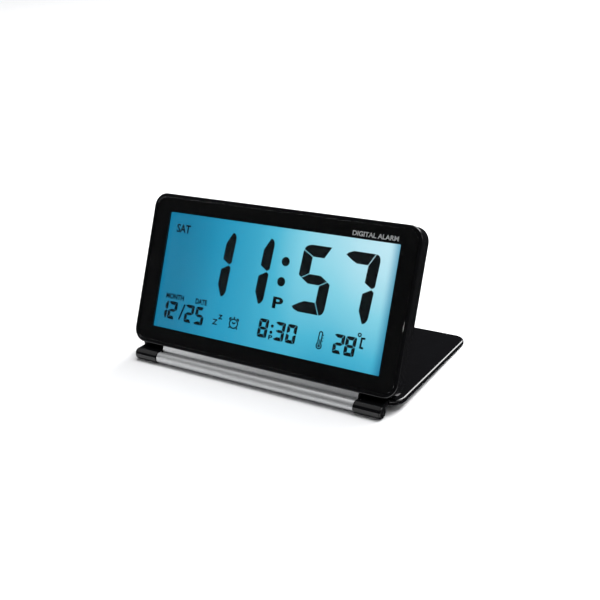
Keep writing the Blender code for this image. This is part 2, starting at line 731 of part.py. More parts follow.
def lcd_stack(frame, finishes):
    """LCD and backlight, front to back, and the holder round them."""
    film = GLASS_BORDER / 2
    end = REAR_GLASS_END
    polariser = finishes["film"]
    glass = finishes["glass"]
    leds = LED_THICKNESS + 2 * FIT_GAP
    layer("front_polariser", FRONT_POLARISER, POLARISER_THICKNESS, film, end, frame, polariser)
    layer("lcd_front_glass", FRONT_GLASS, GLASS_THICKNESS, 0.0, FRONT_GLASS_END, frame, glass)
    layer("lcd_rear_glass", REAR_GLASS, GLASS_THICKNESS, 0.0, end, frame, glass)
    layer("rear_polariser", REAR_POLARISER, POLARISER_THICKNESS, film, end, frame, polariser)
    acrylic, white = finishes["acrylic"], finishes["white"]
    layer("light_guide", GUIDE, GUIDE_THICKNESS, 0.0, end, frame, acrylic, leds)
    layer("backlight_reflector", REFLECTOR, REFLECTOR_THICKNESS, 0.0, end, frame, white, leds)

    tall = FRONT_GLASS_END - GLASS_START
    centre = (0.0, (FRONT_GLASS_END + GLASS_START) / 2)

    def ring(grown, radius):
        return rounded_box(centre, GLASS_WIDTH + 2 * grown, tall + 2 * grown, radius, 2)

    inner = ring(FIT_GAP, SMALLEST_R)
    outer = ring(FIT_GAP + HOLDER_WALL, VIEW_CORNER_R)
    front, back = LEDGE_BACK - RUN_GAP, BOARD_FRONT + FIT_GAP
    holder = [(outer, back), (outer, front), (inner, front), (inner, back)]
    add("lcd_holder", loft(holder, hollow=True), frame, white)

    for share, name in ((0.25, "lower"), (0.75, "upper")):
        y = GLASS_START + share * (REAR_GLASS_END - GLASS_START)
        right = GLASS_WIDTH / 2
        led = box_outline(right - LED_THICKNESS, right, y - LED_WIDTH / 2, y + LED_WIDTH / 2)
        led = slab(led, BOARD_FRONT + FIT_GAP, GUIDE)
        add("backlight_led_" + name, led, frame, finishes["led"])

    half = GLASS_WIDTH / 2 - CONNECTOR_INSET
    low, high = REAR_GLASS_END + CONNECTOR_EDGE, FRONT_GLASS_END - CONNECTOR_EDGE
    strip = box_outline(-half, half, low, high)
    strip = slab(strip, BOARD_FRONT + FIT_GAP, FRONT_GLASS - GLASS_THICKNESS - FIT_GAP)
    add("elastomer_connector", strip, frame, finishes["elastomer"])


def circuit_board(frame, finishes):
    """Board with a screw ear at each side and an opening for the coin cell."""
    low, high = GLASS_START + BOARD_START, FRONT_GLASS_END
    outline = rounded_box((0.0, (low + high) / 2), BOARD_WIDTH, high - low, BOARD_CORNER_R, 3)
    board = slab(outline, BOARD_BACK, BOARD_FRONT)
    board = add("circuit_board", board, frame, finishes["board"])
    for side, name in ((-1, "left"), (1, "right")):
        inner, outer = BOARD_WIDTH / 2 - EAR_ROOT, SCREW_X + EAR_WALL
        centre = (side * (inner + outer) / 2, SLAB_MIDDLE)
        ear = rounded_box(centre, outer - inner, EAR_WIDTH, BOARD_CORNER_R, 3)
        join(board, add("ear_" + name, slab(ear, BOARD_BACK, BOARD_FRONT), frame))
        place = (side * SCREW_X, SLAB_MIDDLE)
        hole = post(place, PILOT_R, BOARD_BACK - MM, 0.0, 16)
        cut(board, add("ear_hole_" + name, hole, frame))
        screw("board_screw_" + name, place, ON_BOARD, BOARD_SCREW_LENGTH, frame, finishes["steel"])
    opening = post((0.0, CELL_ALONG), CELL_HOLE_R, BOARD_BACK - MM, 0.0, 32)
    cut(board, add("cell_opening", opening, frame))


def electronics(frame, finishes):
    """What is soldered to the board, and the buzzer on the rear shell."""
    blob = []
    for step in range(5):
        angle = math.radians(80 * (4 - step) / 4)
        blob.append((BLOB_R * math.cos(angle), ON_BOARD - BLOB_HEIGHT * math.sin(angle)))
    place = (BLOB_X, KEY_ROW - BLOB_BELOW_KEYS)
    add("processor_blob", turned(place, blob, 24), frame, finishes["epoxy"])

    can = circle((KEY_ROW - CRYSTAL_BELOW_KEYS, ON_BOARD - CRYSTAL_R), CRYSTAL_R, 16)
    can = along_x(can, CRYSTAL_X - CRYSTAL_LENGTH / 2, CRYSTAL_X + CRYSTAL_LENGTH / 2)
    add("quartz_crystal", can, frame, finishes["steel"])

    length, width, height = SENSOR_SIZE
    place = (SENSOR_INSET - BOARD_WIDTH / 2, KEY_ROW - SENSOR_BELOW_KEYS)
    sensor = slab(rounded_box(place, length, width, SMALLEST_R, 2), ON_BOARD - height, ON_BOARD)
    add("temperature_sensor", sensor, frame, finishes["epoxy"])

    disc = SHELL_INSIDE + 2 * FIT_GAP
    inner = BUZZER_R * 0.7
    profile = [(BUZZER_R, disc), (BUZZER_R, disc + BUZZER_LAYER)]
    profile += [(inner, disc + BUZZER_LAYER), (inner, disc + 2 * BUZZER_LAYER)]
    add("piezo_buzzer", turned((BUZZER_X, CELL_ALONG), profile), frame, finishes["brass"])

    for name, x in KEY_PLACES.items():
        profile = [
            (DOME_R * 0.6, ON_BOARD - DOME_THICKNESS),
            (DOME_R, ON_BOARD - DOME_THICKNESS / 3),
            (DOME_R, ON_BOARD),
        ]
        add("dome_" + name, turned((x, KEY_ROW), profile, 20), frame, finishes["steel"])


def slide_switch_body(frame, finish):
    """Switch on the board, with a groove for the knob's tongue."""
    length, width, height = SWITCH_BODY
    body = slab(switch_outline(length, width, SWITCH_TRAVEL), ON_BOARD - height, ON_BOARD)
    body = add("slide_switch_body", body, frame, finish)
    gap = 2 * FIT_GAP
    groove = switch_outline(TONGUE_LENGTH + gap, TONGUE_WIDTH + gap, SWITCH_TRAVEL)
    floor = ON_BOARD - TONGUE_DEPTH + 2 * FIT_GAP
    cut(body, add("switch_groove", slab(groove, ON_BOARD - MM - height, floor), frame))


def battery_parts(frame, finishes):
    """Coin cell and its two contacts, each drawn as a path along the board's and cell's faces."""
    cell = (0.0, CELL_ALONG)
    edge = 0.2 * MM
    profile = [
        (CELL_R - edge, CELL_BACK),
        (CELL_R, CELL_BACK + edge),
        (CELL_R, CELL_FRONT - 3 * edge),
        (CELL_R - 4 * edge, CELL_FRONT),
    ]
    add("coin_cell", turned(cell, profile, 48), frame, finishes["steel"])

    thick = CONTACT_THICKNESS
    wall = CELL_R + FIT_GAP
    foot = CELL_HOLE_R + CONTACT_FOOT
    leaf = [
        (-wall / 2, BOARD_FRONT),
        (-wall - thick, BOARD_FRONT),
        (-wall - thick, ON_BOARD - thick),
        (-foot, ON_BOARD - thick),
        (-foot, ON_BOARD),
        (-wall - 2 * thick, ON_BOARD),
        (-wall - 2 * thick, BOARD_FRONT + thick),
        (-wall / 2, BOARD_FRONT + thick),
    ]
    half = NEGATIVE_WIDTH / 2
    leaf = across(leaf, CELL_ALONG - half, CELL_ALONG + half)
    add("battery_contact_negative", leaf, frame, finishes["contact"])

    clip = [
        (wall, ON_BOARD - POSITIVE_DEPTH),
        (wall, ON_BOARD),
        (foot, ON_BOARD),
        (foot, ON_BOARD - thick),
        (wall + thick, ON_BOARD - thick),
        (wall + thick, ON_BOARD - POSITIVE_DEPTH),
    ]
    half = POSITIVE_WIDTH / 2
    clip = across(clip, CELL_ALONG - half, CELL_ALONG + half)
    add("battery_contact_positive", clip, frame, finishes["contact"])


def across(outline, low, high):
    """A solid whose (x, z) outline runs from low to high along the slab."""
    solid = slab(outline, -high, -low)
    bmesh.ops.transform(solid, matrix=Matrix.Rotation(math.pi / 2, 4, "X"), verts=solid.verts)
    return solid


def screw(name, place, seat, length, frame, finish):
    """Pan-head screw that enters towards the display's face, with a cross recess."""
    edge = 0.2 * MM
    profile = [
        (SCREW_HEAD_R - edge, seat - SCREW_HEAD),
        (SCREW_HEAD_R, seat - SCREW_HEAD + edge),
        (SCREW_HEAD_R, seat),
        (SCREW_R, seat),
        (SCREW_R, seat + length - 2 * edge),
        (SCREW_R / 2, seat + length),
    ]
    made = add(name, turned(place, profile, 16), frame, finish)
    for index in range(2):
        arms = (SCREW_HEAD_R * 0.62, SCREW_R * 0.25)
        x, y = arms if index == 0 else arms[::-1]
        blade = box_outline(place[0] - x, place[0] + x, place[1] - y, place[1] + y)
        deep = seat - SCREW_HEAD / 2
        cut(made, add(f"{name}_cross_{index}", slab(blade, seat - SCREW_HEAD - MM, deep), frame))
    return made


def keys(frame, finish):
    """Push keys on the back, each with a flange inside the shell and a plunger over its dome."""
    flanges = key_outlines(KEY_FLANGE)
    tops = key_outlines(-KEY_EDGE)
    plunger_end = ON_BOARD - DOME_THICKNESS - KEY_TRAVEL - FIT_GAP
    for name, outline in key_outlines(0.0).items():
        origin = (KEY_PLACES[name], KEY_ROW, 0.0)
        levels = [
            (tops[name], BACK - KEY_PROUD),
            (outline, BACK - KEY_PROUD + KEY_EDGE),
            (outline, FLANGE_BACK + FLANGE_THICKNESS / 2),
        ]
        key = place_at("key_" + name, loft(levels), origin, frame, finish)
        flange = slab(flanges[name], FLANGE_BACK, FLANGE_BACK + FLANGE_THICKNESS)
        join(key, place_at("flange_" + name, flange, origin, frame))
        plunger = post(origin[:2], PLUNGER_R, FLANGE_BACK, plunger_end, 16)
        join(key, place_at("plunger_" + name, plunger, origin, frame))


def place_at(name, solid, origin, frame, finish=None):
    """Adds a solid modelled in its slab's frame as an object whose origin is at a given point."""
    shift = Matrix.Translation([-value for value in origin])
    bmesh.ops.transform(solid, matrix=shift, verts=solid.verts)
    return add(name, solid, frame, finish, origin)


def alarm_switch(frame, finish):
    """Slide knob of the alarm switch, grooved across its travel, with a flange and a tongue."""
    origin = (SWITCH_X, SWITCH_ALONG, 0.0)
    top = BACK - KEY_PROUD
    grown = 2 * KEY_FLANGE
    flange = switch_outline(KNOB_LENGTH + grown, KNOB_WIDTH + grown)
    tongue = switch_outline(TONGUE_LENGTH, TONGUE_WIDTH)
    knob = slab(switch_outline(KNOB_LENGTH, KNOB_WIDTH), top, FLANGE_BACK + FLANGE_THICKNESS / 2)
    knob = place_at("alarm_switch_knob", knob, origin, frame, finish)
    flange = slab(flange, FLANGE_BACK, FLANGE_BACK + FLANGE_THICKNESS)
    join(knob, place_at("knob_flange", flange, origin, frame))
    tongue = slab(tongue, FLANGE_BACK, ON_BOARD - TONGUE_DEPTH)
    join(knob, place_at("knob_tongue", tongue, origin, frame))
    for index in range(3):
        x = SWITCH_X + (index - 1) * KNOB_LENGTH * 0.28
        rib = box_outline(x - KNOB_RIB / 2, x + KNOB_RIB / 2, 0.0, SLAB_END)
        rib = slab(rib, top - MM, top + KNOB_RIB_DEPTH)
        cut(knob, place_at(f"knob_rib_{index}", rib, origin, frame))


def battery_door(frame, finish):
    """Round bayonet door with a coin slot. Its two lugs come free at the end of its twist."""
    origin = (0.0, CELL_ALONG, BACK)
    centre = origin[:2]
    edge = 0.2 * MM
    ring_end = SHELL_INSIDE + DOOR_RING_DEPTH
    profile = [(DOOR_R - edge, BACK), (DOOR_R, BACK + edge), (DOOR_R, BACK + DOOR_THICKNESS)]
    door = place_at("battery_door", turned(centre, profile, 48), origin, frame, finish)

    core = circle(centre, DOOR_CORE_R, 48)
    bore = circle(centre, CELL_HOLE_R - CELL_RUN / 2, 48)
    levels = [
        (core, BACK + DOOR_THICKNESS / 2),
        (core, ring_end),
        (bore, ring_end),
        (bore, CELL_BACK - FIT_GAP),
    ]
    join(door, place_at("door_ring", loft(levels), origin, frame))
    for side in (0, 180):
        outline = lug_outline(side, LUG_ANGLE, 0.0)
        lug = slab(outline, SHELL_INSIDE + 2 * FIT_GAP, ring_end - FIT_GAP)
        join(door, place_at(f"door_lug_{side}", lug, origin, frame))
    slot = rounded_box(centre, *COIN_SLOT, COIN_SLOT[1] * 0.45, 3)
    slot = slab(slot, BACK - MM, BACK + DOOR_THICKNESS * 0.7)
    cut(door, place_at("coin_slot", slot, origin, frame))


def finishes_made():
    return {
        "black_gloss": material("black_gloss", (0.006, 0.006, 0.007), 0.08),
        "black_matte": material("black_matte", (0.02, 0.02, 0.022), 0.55),
        "key": material("key_plastic", (0.035, 0.036, 0.04), 0.4),
        "silver": material("silver_satin", (0.62, 0.63, 0.64), 0.32, 0.9),
        "clear": material("clear_acrylic", (0.95, 0.97, 0.98), 0.03, 0.0, 0.9),
        "glass": material("lcd_glass", (0.9, 0.95, 0.95), 0.05, 0.0, 0.8),
        "acrylic": material("guide_acrylic", (0.55, 0.83, 0.92), 0.2, 0.0, 0.3),
        "film": material("polariser_film", (0.42, 0.47, 0.45), 0.3),
        "white": material("white_plastic", (0.85, 0.85, 0.83), 0.5),
        "board": material("board_laminate", (0.03, 0.16, 0.07), 0.45),
        "epoxy": material("black_epoxy", (0.015, 0.015, 0.015), 0.3),
        "elastomer": material("elastomer", (0.12, 0.12, 0.13), 0.8),
        "led": material("led_resin", (0.95, 0.9, 0.6), 0.25),
        "steel": material("bright_steel", (0.6, 0.6, 0.6), 0.28, 1.0),
        "contact": material("plated_contact", (0.72, 0.7, 0.62), 0.3, 1.0),
        "brass": material("brass", (0.72, 0.52, 0.2), 0.3, 1.0),
        "rubber": material("rubber", (0.03, 0.03, 0.03), 0.85),
        "felt": material("felt", (0.04, 0.04, 0.045), 0.95),
    }


def main():
    clear_scene()
    finishes = finishes_made()
    clock = empty("clock", (0.0, AXIS_Y, AXIS_HEIGHT), 0.0)
    cover = empty("cover", (0.0, 0.0, 0.0), -COVER_SLOPE, clock)
    display = empty("display", (0.0, 0.0, 0.0), math.pi / 2 - LEAN, clock)

    cover_shell(cover, finishes["black_gloss"])
    cover_fittings(cover, finishes)
    front_frame(display, finishes["black_gloss"])
    rear_shell(display, finishes["black_gloss"])
    hinge_trim(display, finishes["silver"])
    friction_sleeves(display, finishes["contact"])
    window_and_tape(display, finishes)
    lcd_stack(display, finishes)
    circuit_board(display, finishes)
    electronics(display, finishes)
    slide_switch_body(display, finishes["black_matte"])
    battery_parts(display, finishes)
    for index, place in enumerate(SCREW_PLACES):
        name = f"case_screw_{index + 1}"
        screw(name, place, HEAD_SEAT - FIT_GAP, CASE_SCREW_LENGTH, display, finishes["steel"])
    keys(display, finishes["key"])
    alarm_switch(display, finishes["key"])
    battery_door(display, finishes["black_gloss"])


main()
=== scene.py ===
"""Looks of a folding LCD alarm clock, standing open on its own cover.

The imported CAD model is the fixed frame. Each slab, the display case and the cover, has its own
frame on the hinge axis: x runs along the hinge barrel, s away from it along the slab, and z out
of the display's face, or out of the cover's outer face. Shapes are worked out there in
millimetres, and a slab's matrix takes them to metres in the row frame.
"""

import functools
import json
import logging
import math
from collections.abc import Callable, Sequence
from dataclasses import dataclass, field
from enum import Enum

import bmesh
import bpy
import numpy as np
from mathutils import Matrix, Vector


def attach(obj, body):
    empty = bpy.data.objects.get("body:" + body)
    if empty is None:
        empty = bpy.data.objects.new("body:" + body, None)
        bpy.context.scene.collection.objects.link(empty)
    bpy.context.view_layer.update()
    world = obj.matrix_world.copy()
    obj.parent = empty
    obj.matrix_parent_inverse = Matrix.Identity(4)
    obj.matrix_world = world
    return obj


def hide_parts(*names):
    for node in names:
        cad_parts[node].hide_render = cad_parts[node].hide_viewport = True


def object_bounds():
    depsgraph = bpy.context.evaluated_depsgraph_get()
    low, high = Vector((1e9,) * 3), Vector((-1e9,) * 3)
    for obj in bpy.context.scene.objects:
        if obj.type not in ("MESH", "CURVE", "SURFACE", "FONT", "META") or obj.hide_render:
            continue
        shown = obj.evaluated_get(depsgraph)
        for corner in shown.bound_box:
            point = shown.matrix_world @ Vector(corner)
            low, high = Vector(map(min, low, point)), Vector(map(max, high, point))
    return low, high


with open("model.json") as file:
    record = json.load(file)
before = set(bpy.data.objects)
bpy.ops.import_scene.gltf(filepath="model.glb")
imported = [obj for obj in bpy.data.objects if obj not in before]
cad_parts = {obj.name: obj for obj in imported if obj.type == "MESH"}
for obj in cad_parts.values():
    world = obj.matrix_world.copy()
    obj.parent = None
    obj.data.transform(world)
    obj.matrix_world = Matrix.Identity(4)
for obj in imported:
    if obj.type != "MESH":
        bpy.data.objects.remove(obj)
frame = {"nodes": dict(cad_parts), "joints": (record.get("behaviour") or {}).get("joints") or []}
cad_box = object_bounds()

LOG = logging.getLogger("alarm_clock")
MM = 0.001
MERGE = 1e-4  # millimetres
OVERCUT = 1.0  # millimetres a cutter stands past what it cuts
Points = np.ndarray


# Frames on the hinge axis


@dataclass(frozen=True)
class SlabFrame:
    """A slab's own frame, with its origin on the hinge axis.

    Attributes:
        origin: A point on the hinge axis, in metres in the row frame.
        along: Unit vector away from the hinge along the slab.
        out: Unit vector out of the slab's face.
    """

    origin: Points
    along: Points
    out: Points

    @property
    def axes(self) -> Points:
        """The x, s and z directions as the columns of a 3 by 3 array."""
        return np.column_stack([np.cross(self.along, self.out), self.along, self.out])

    @property
    def matrix(self) -> Matrix:
        """Takes millimetres in this frame to metres in the row frame."""
        upper = np.column_stack([self.axes * MM, self.origin])
        return Matrix(np.vstack([upper, [0.0, 0.0, 0.0, 1.0]]).tolist())

    def local(self, points: Points) -> Points:
        """Points in metres in the row frame, as millimetres in this frame."""
        return (points - self.origin) @ self.axes / MM

    def extent(self, node: str) -> tuple[Points, Points]:
        """Lowest and highest x, s and z of a CAD node, in millimetres in this frame."""
        points = self.local(node_points(node))
        return points.min(axis=0), points.max(axis=0)


def node_points(node: str) -> Points:
    """A CAD node's vertices in metres in the row frame.

    Args:
        node: The node's name.

    Returns:
        One row for each vertex.
    """
    vertices = frame["nodes"][node].data.vertices
    points = np.empty(len(vertices) * 3, np.float32)
    vertices.foreach_get("co", points)
    return points.reshape(-1, 3).astype(float)


def joint(name: str) -> dict:
    """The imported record's entry for one joint."""
    return next(entry for entry in frame["joints"] if entry["name"] == name)


def display_slab() -> SlabFrame:
    """The display case's frame: the keys travel straight out of its face.

    Returns:
        The frame, on the hinge axis.
    """
    out = np.array(joint("mode_key_press")["axis"], float)
    hinge = joint("display_fold")
    along = np.cross(out, np.array(hinge["axis"], float))
    return SlabFrame(np.array(hinge["pos_m"], float), along, out)


def cover_slab() -> SlabFrame:
    """The cover's frame: its liner is a flat sheet, thinnest across the cover's face.

    Returns:
        The frame, on the hinge axis.
    """
    points = node_points("cover_liner")
    out = np.linalg.svd(points - points.mean(axis=0), full_matrices=False)[2][2]
    out = out * np.sign(out[2])
    hinge = joint("display_fold")
    along = np.cross(out, np.array(hinge["axis"], float))
    return SlabFrame(np.array(hinge["pos_m"], float), along, out)


# Outlines, as arrays of flat points


def elliptic_arc(
    centre: Sequence[float], radii: Sequence[float], start: float, end: float, steps: int
) -> Points:
    """Points of an ellipse's arc: centre plus the two radii times cosine and sine.

    Args:
        centre: Centre of the ellipse.
        radii: Half its width and half its height.
        start: First angle, in degrees.
        end: Last angle, in degrees.
        steps: Number of equal steps between them.

    Returns:
        One row for each point.
    """
    angles = np.radians(np.linspace(start, end, steps + 1))
    turn = np.column_stack([np.cos(angles), np.sin(angles)])
    return np.asarray(centre, float) + turn * np.asarray(radii, float)


def circle(centre: Sequence[float], radius: float, steps: int = 48) -> Points:
    """A full circle, anticlockwise, with no repeated point."""
    return elliptic_arc(centre, (radius, radius), 0, 360, steps)[:-1]


def rounded_box(low: Points, high: Points, radius: float, steps: int = 12) -> Points:
    """A rectangle with round corners: four quarter arcs, joined anticlockwise.

    Args:
        low: Its lowest corner.
        high: Its highest corner.
        radius: Radius of the corners.
        steps: Steps in each corner.

    Returns:
        One row for each point.
    """
    (x0, y0), (x1, y1) = np.asarray(low, float) + radius, np.asarray(high, float) - radius
    corners = [(x1, y1, 0), (x0, y1, 90), (x0, y0, 180), (x1, y0, 270)]
    arcs = [elliptic_arc((x, y), (radius, radius), a, a + 90, steps) for x, y, a in corners]
    return np.concatenate(arcs)


def stadium(centre: Sequence[float], half: float, radius: float) -> Points:
    """Two half circles joined by straight sides along x.

    Args:
        centre: The outline's middle.
        half: How far each half circle's centre stands from the middle.
        radius: Of the half circles.

    Returns:
        One row for each point.
    """
    right = elliptic_arc((centre[0] + half, centre[1]), (radius, radius), -90, 90, 24)
    left = elliptic_arc((centre[0] - half, centre[1]), (radius, radius), 90, 270, 24)
    return np.concatenate([right, left])


def sector(centre: Sequence[float], radii: Sequence[float], middle: float, spread: float) -> Points:
    """A piece of a flat ring.

    Args:
        centre: The ring's centre.
        radii: Its inner and its outer radius.
        middle: Angle of the piece's middle, in degrees.
        spread: Angle from end to end, in degrees.

    Returns:
        One row for each point.
    """
    start, end = middle - spread / 2, middle + spread / 2
    outer = elliptic_arc(centre, (radii[1], radii[1]), start, end, 16)
    return np.concatenate([outer, elliptic_arc(centre, (radii[0], radii[0]), end, start, 16)])


def mitred(path: Points, distance: float, closed: bool) -> Points:
    """A path moved sideways, each point along the mitre of its two runs.

    The mitre is the sum of the two runs' normals over one plus the cosine between the runs.

    Args:
        path: Points of the path.
        distance: How far to the left of its direction.
        closed: Whether the last point runs on to the first.

    Returns:
        As many points as the path has.
    """
    ahead = np.roll(path, -1, axis=0) - path
    if not closed:
        ahead[-1] = ahead[-2]
    ahead = ahead / np.linalg.norm(ahead, axis=1, keepdims=True)
    behind = np.roll(ahead, 1, axis=0)
    if not closed:
        behind[0] = ahead[0]
    both = ahead + behind
    normal = np.column_stack([-both[:, 1], both[:, 0]])
    cosine = np.sum(ahead * behind, axis=1, keepdims=True)
    return path + normal / (1 + cosine) * distance


# Skins: points and faces of closed surfaces


@dataclass(frozen=True)
class Skin:
    """Points and faces of one or more closed surfaces, in millimetres in a slab's frame."""

    points: Points
    faces: list[list[int]]

    def lying_along_x(self) -> "Skin":
        """The same surface with its heights along x and its outlines across s and z."""
        return Skin(self.points[:, [2, 0, 1]], self.faces)


def loft(levels: Sequence[tuple[Points, float]], ring: bool = False) -> Skin:
    """Surface through outlines at their heights, on a grid of levels by outline points.

    Args:
        levels: Outlines with equally many points, each with its height.
        ring: True joins the last level to the first, and False closes both ends flat.

    Returns:
        The closed surface.
    """
    outlines = np.stack([outline for outline, _ in levels])
    rows, columns = outlines.shape[:2]
    heights = np.array([height for _, height in levels], float)
    heights = np.broadcast_to(heights[:, None, None], (rows, columns, 1))
    points = np.concatenate([outlines, heights], axis=2).reshape(-1, 3)
    index = np.arange(rows * columns).reshape(rows, columns)
    ends = [] if ring else [index[0][::-1].tolist(), index[-1].tolist()]
    if ring:
        index = np.vstack([index, index[:1]])
    right = np.roll(index, -1, axis=1)
    quads = np.stack([index[:-1], right[:-1], right[1:], index[1:]], axis=-1)
    return Skin(points, quads.reshape(-1, 4).tolist() + ends)


def prism(outline: Points, low: float, high: float) -> Skin:
    """An outline carried straight from one height to another."""
    return loft([(outline, low), (outline, high)])


def turned(centre: Sequence[float], profile: Sequence[tuple[float, float]], steps: int = 48) -> Skin:
    """A profile of radius and height turned round a centre."""
    return loft([(circle(centre, radius, steps), height) for radius, height in profile])


def together(skins: Sequence[Skin]) -> Skin:
    """Several skins as one, each face's numbers moved on by the points before it.

    Args:
        skins: What to join.

    Returns:
        One skin that holds them all.
    """
    starts = np.cumsum([0] + [len(skin.points) for skin in skins[:-1]])
    faces = [
        [corner + start for corner in face]
        for skin, start in zip(skins, starts.tolist())
        for face in skin.faces
    ]
    return Skin(np.concatenate([skin.points for skin in skins]), faces)


def ribbon(path: Points, width: float, low: float, high: float, closed: bool = False) -> Skin:
    """A flat line of even width along a path, as a low raised bar.

    Args:
        path: Points of its middle line.
        width: Its width.
        low: Height of its underside.
        high: Height of its top.
        closed: Whether the line runs back to its start.

    Returns:
        The closed surface.
    """
    left = mitred(path, width / 2, closed)
    right = mitred(path, -width / 2, closed)
    if closed:
        return loft([(left, low), (left, high), (right, high), (right, low)], ring=True)
    return prism(np.concatenate([left, right[::-1]]), low, high)


def lettering(text: str, low: Sequence[float], high: Sequence[float], weight: float) -> Skin:
    """Block letters stretched to fill a box, from the built-in font.

    The letters' own box is mapped onto the given box along each axis.

    Args:
        text: What to write, in generic words.
        low: Lowest x, s and z of the box.
        high: Highest x, s and z of the box.
        weight: How much the letters are thickened, as a share of their size.

    Returns:
        The letters as closed surfaces.
    """
    curve = bpy.data.curves.new("letters", "FONT")
    curve.body = text
    curve.extrude = 0.1
    curve.offset = weight
    curve.resolution_u = 4
    letters = bpy.data.objects.new("letters", curve)
    bpy.context.scene.collection.objects.link(letters)
    graph = bpy.context.evaluated_depsgraph_get()
    mesh = bpy.data.meshes.new_from_object(letters.evaluated_get(graph))
    points = np.empty(len(mesh.vertices) * 3, np.float32)
    mesh.vertices.foreach_get("co", points)
    points = points.reshape(-1, 3).astype(float)
    faces = [list(polygon.vertices) for polygon in mesh.polygons]
    bpy.data.objects.remove(letters)
    bpy.data.curves.remove(curve)
    bpy.data.meshes.remove(mesh)
    share = (points - points.min(axis=0)) / np.ptp(points, axis=0)
    return Skin(np.asarray(low) + share * (np.asarray(high) - np.asarray(low)), faces)


# Seven-segment digits


@dataclass(frozen=True)
class Digit:
    """One seven-segment digit of an LCD, with its lower left corner at a place.

    Corners belong to the side strokes on the right and to the end strokes on the left, and the
    middle stroke meets its neighbours in points near the outside.

    Attributes:
        width: Of the whole digit.
        height: Of the whole digit.
        stroke: Width of one segment.
        gap: Clear line between two segments.
        lean: How far a point moves right for each millimetre above the digit's middle.
    """

    width: float
    height: float
    stroke: float
    gap: float
    lean: float = 0.055

    LIT = {
        "0": "abcdef", "1": "bc", "2": "abged", "3": "abgcd", "4": "fgbc",
        "5": "afgcd", "6": "afgecd", "7": "abc", "8": "abcdefg", "9": "abcdfg",
    }

    def top(self, joined: bool) -> Points:
        """Segment a: mitred at its right end, and rounded or pointed at its left end.

        Args:
            joined: Whether segment f is lit, which gives the left end a round corner.

        Returns:
            The segment's outline.
        """
        w, h, t = self.width, self.height, self.stroke
        right = [(w - t, h - t), (w - 0.48 * t, h)]
        if joined:
            corner = elliptic_arc((0.8 * t, h - 0.5 * t), (0.75 * t, 0.5 * t), 90, 180, 5)
            return np.concatenate([[(t, h - t)], right, corner])
        point = [(0.6 * t, h), (0.15 * t, h - 0.18 * t), (-0.06 * t, h - 0.4 * t)]
        return np.array([(1.05 * t, h - t), *right, *point, (0.65 * t, h - 0.82 * t)])

    def right_side(self) -> Points:
        """Segment b: it takes in the rounded corner, and ends in a point near the outside.

        Returns:
            The segment's outline.
        """
        w, h, t = self.width, self.height, self.stroke
        corner = elliptic_arc((w - 0.48 * t, h - 0.6 * t), (0.48 * t, 0.6 * t), 0, 90, 5)
        end = [(w - t, h - t), (w - t, h / 2 + 0.42 * t), (w - 0.27 * t, h / 2)]
        return np.concatenate([end, [(w, h / 2 + 0.2 * t)], corner])

    def left_side(self) -> Points:
        """Segment f: mitred to the top stroke, with its point near the outside.

        Returns:
            The segment's outline.
        """
        h, t = self.height, self.stroke
        top = [(t, h - t), (0.05 * t, h - 0.5 * t), (0.0, h - 0.7 * t)]
        return np.array([*top, (0.0, h / 2 + 0.2 * t), (0.27 * t, h / 2), (t, h / 2 + 0.42 * t)])

    def middle(self) -> Points:
        """Segment g: a long hexagon between the two points of the sides.

        Returns:
            The segment's outline.
        """
        w, h, t = self.width, self.height, self.stroke
        tips = [(0.27 * t, h / 2), (w - 0.27 * t, h / 2)]
        low = [(t, h / 2 - 0.42 * t), (w - t, h / 2 - 0.42 * t)]
        high = [(w - t, h / 2 + 0.42 * t), (t, h / 2 + 0.42 * t)]
        return np.array([tips[0], *low, tips[1], *high])

    def skins(self, sign: str, left: float, bottom: float, low: float, high: float) -> list[Skin]:
        """The lit segments of one sign, each drawn in by half the gap.

        The lower half is the upper half's outlines mirrored about the middle of the height.

        Args:
            sign: A figure from 0 to 9.
            left: x of the digit's left side.
            bottom: s of the digit's lower side.
            low: Height of the segments' undersides.
            high: Height of their tops.

        Returns:
            One skin for each lit segment.
        """
        lit = self.LIT[sign]
        upper = {"a": self.top("f" in lit), "b": self.right_side(), "f": self.left_side()}
        lower = {"d": self.top("e" in lit), "c": self.right_side(), "e": self.left_side()}
        mirror = np.array([1.0, -1.0])
        shapes = {**upper, "g": self.middle()}
        for name, shape in lower.items():
            shapes[name] = (shape * mirror + [0.0, self.height])[::-1]
        drawn = [mitred(shapes[name], self.gap / 2, True) for name in lit]
        slant = np.array([[1.0, 0.0], [self.lean, 1.0]])
        place = np.array([left - self.lean * self.height / 2, bottom])
        return [prism(outline @ slant + place, low, high) for outline in drawn]


# Solids


def solid(name: str, skin: Skin) -> bpy.types.Object:
    """Makes an object of a skin, with doubles merged and faces turned outwards.

    Args:
        name: The object's name.
        skin: Its closed surface.

    Returns:
        The linked object, still in the slab's frame.
    """
    mesh = bpy.data.meshes.new(name)
    mesh.from_pydata(skin.points.tolist(), [], skin.faces)
    shape = bmesh.new()
    shape.from_mesh(mesh)
    bmesh.ops.remove_doubles(shape, verts=shape.verts, dist=MERGE)
    bmesh.ops.dissolve_degenerate(shape, edges=shape.edges, dist=MERGE)
    bmesh.ops.recalc_face_normals(shape, faces=shape.faces)
    if shape.calc_volume(signed=True) < 0:
        bmesh.ops.reverse_faces(shape, faces=shape.faces)
    shape.to_mesh(mesh)
    shape.free()
    made = bpy.data.objects.new(name, mesh)
    bpy.context.scene.collection.objects.link(made)
    return made


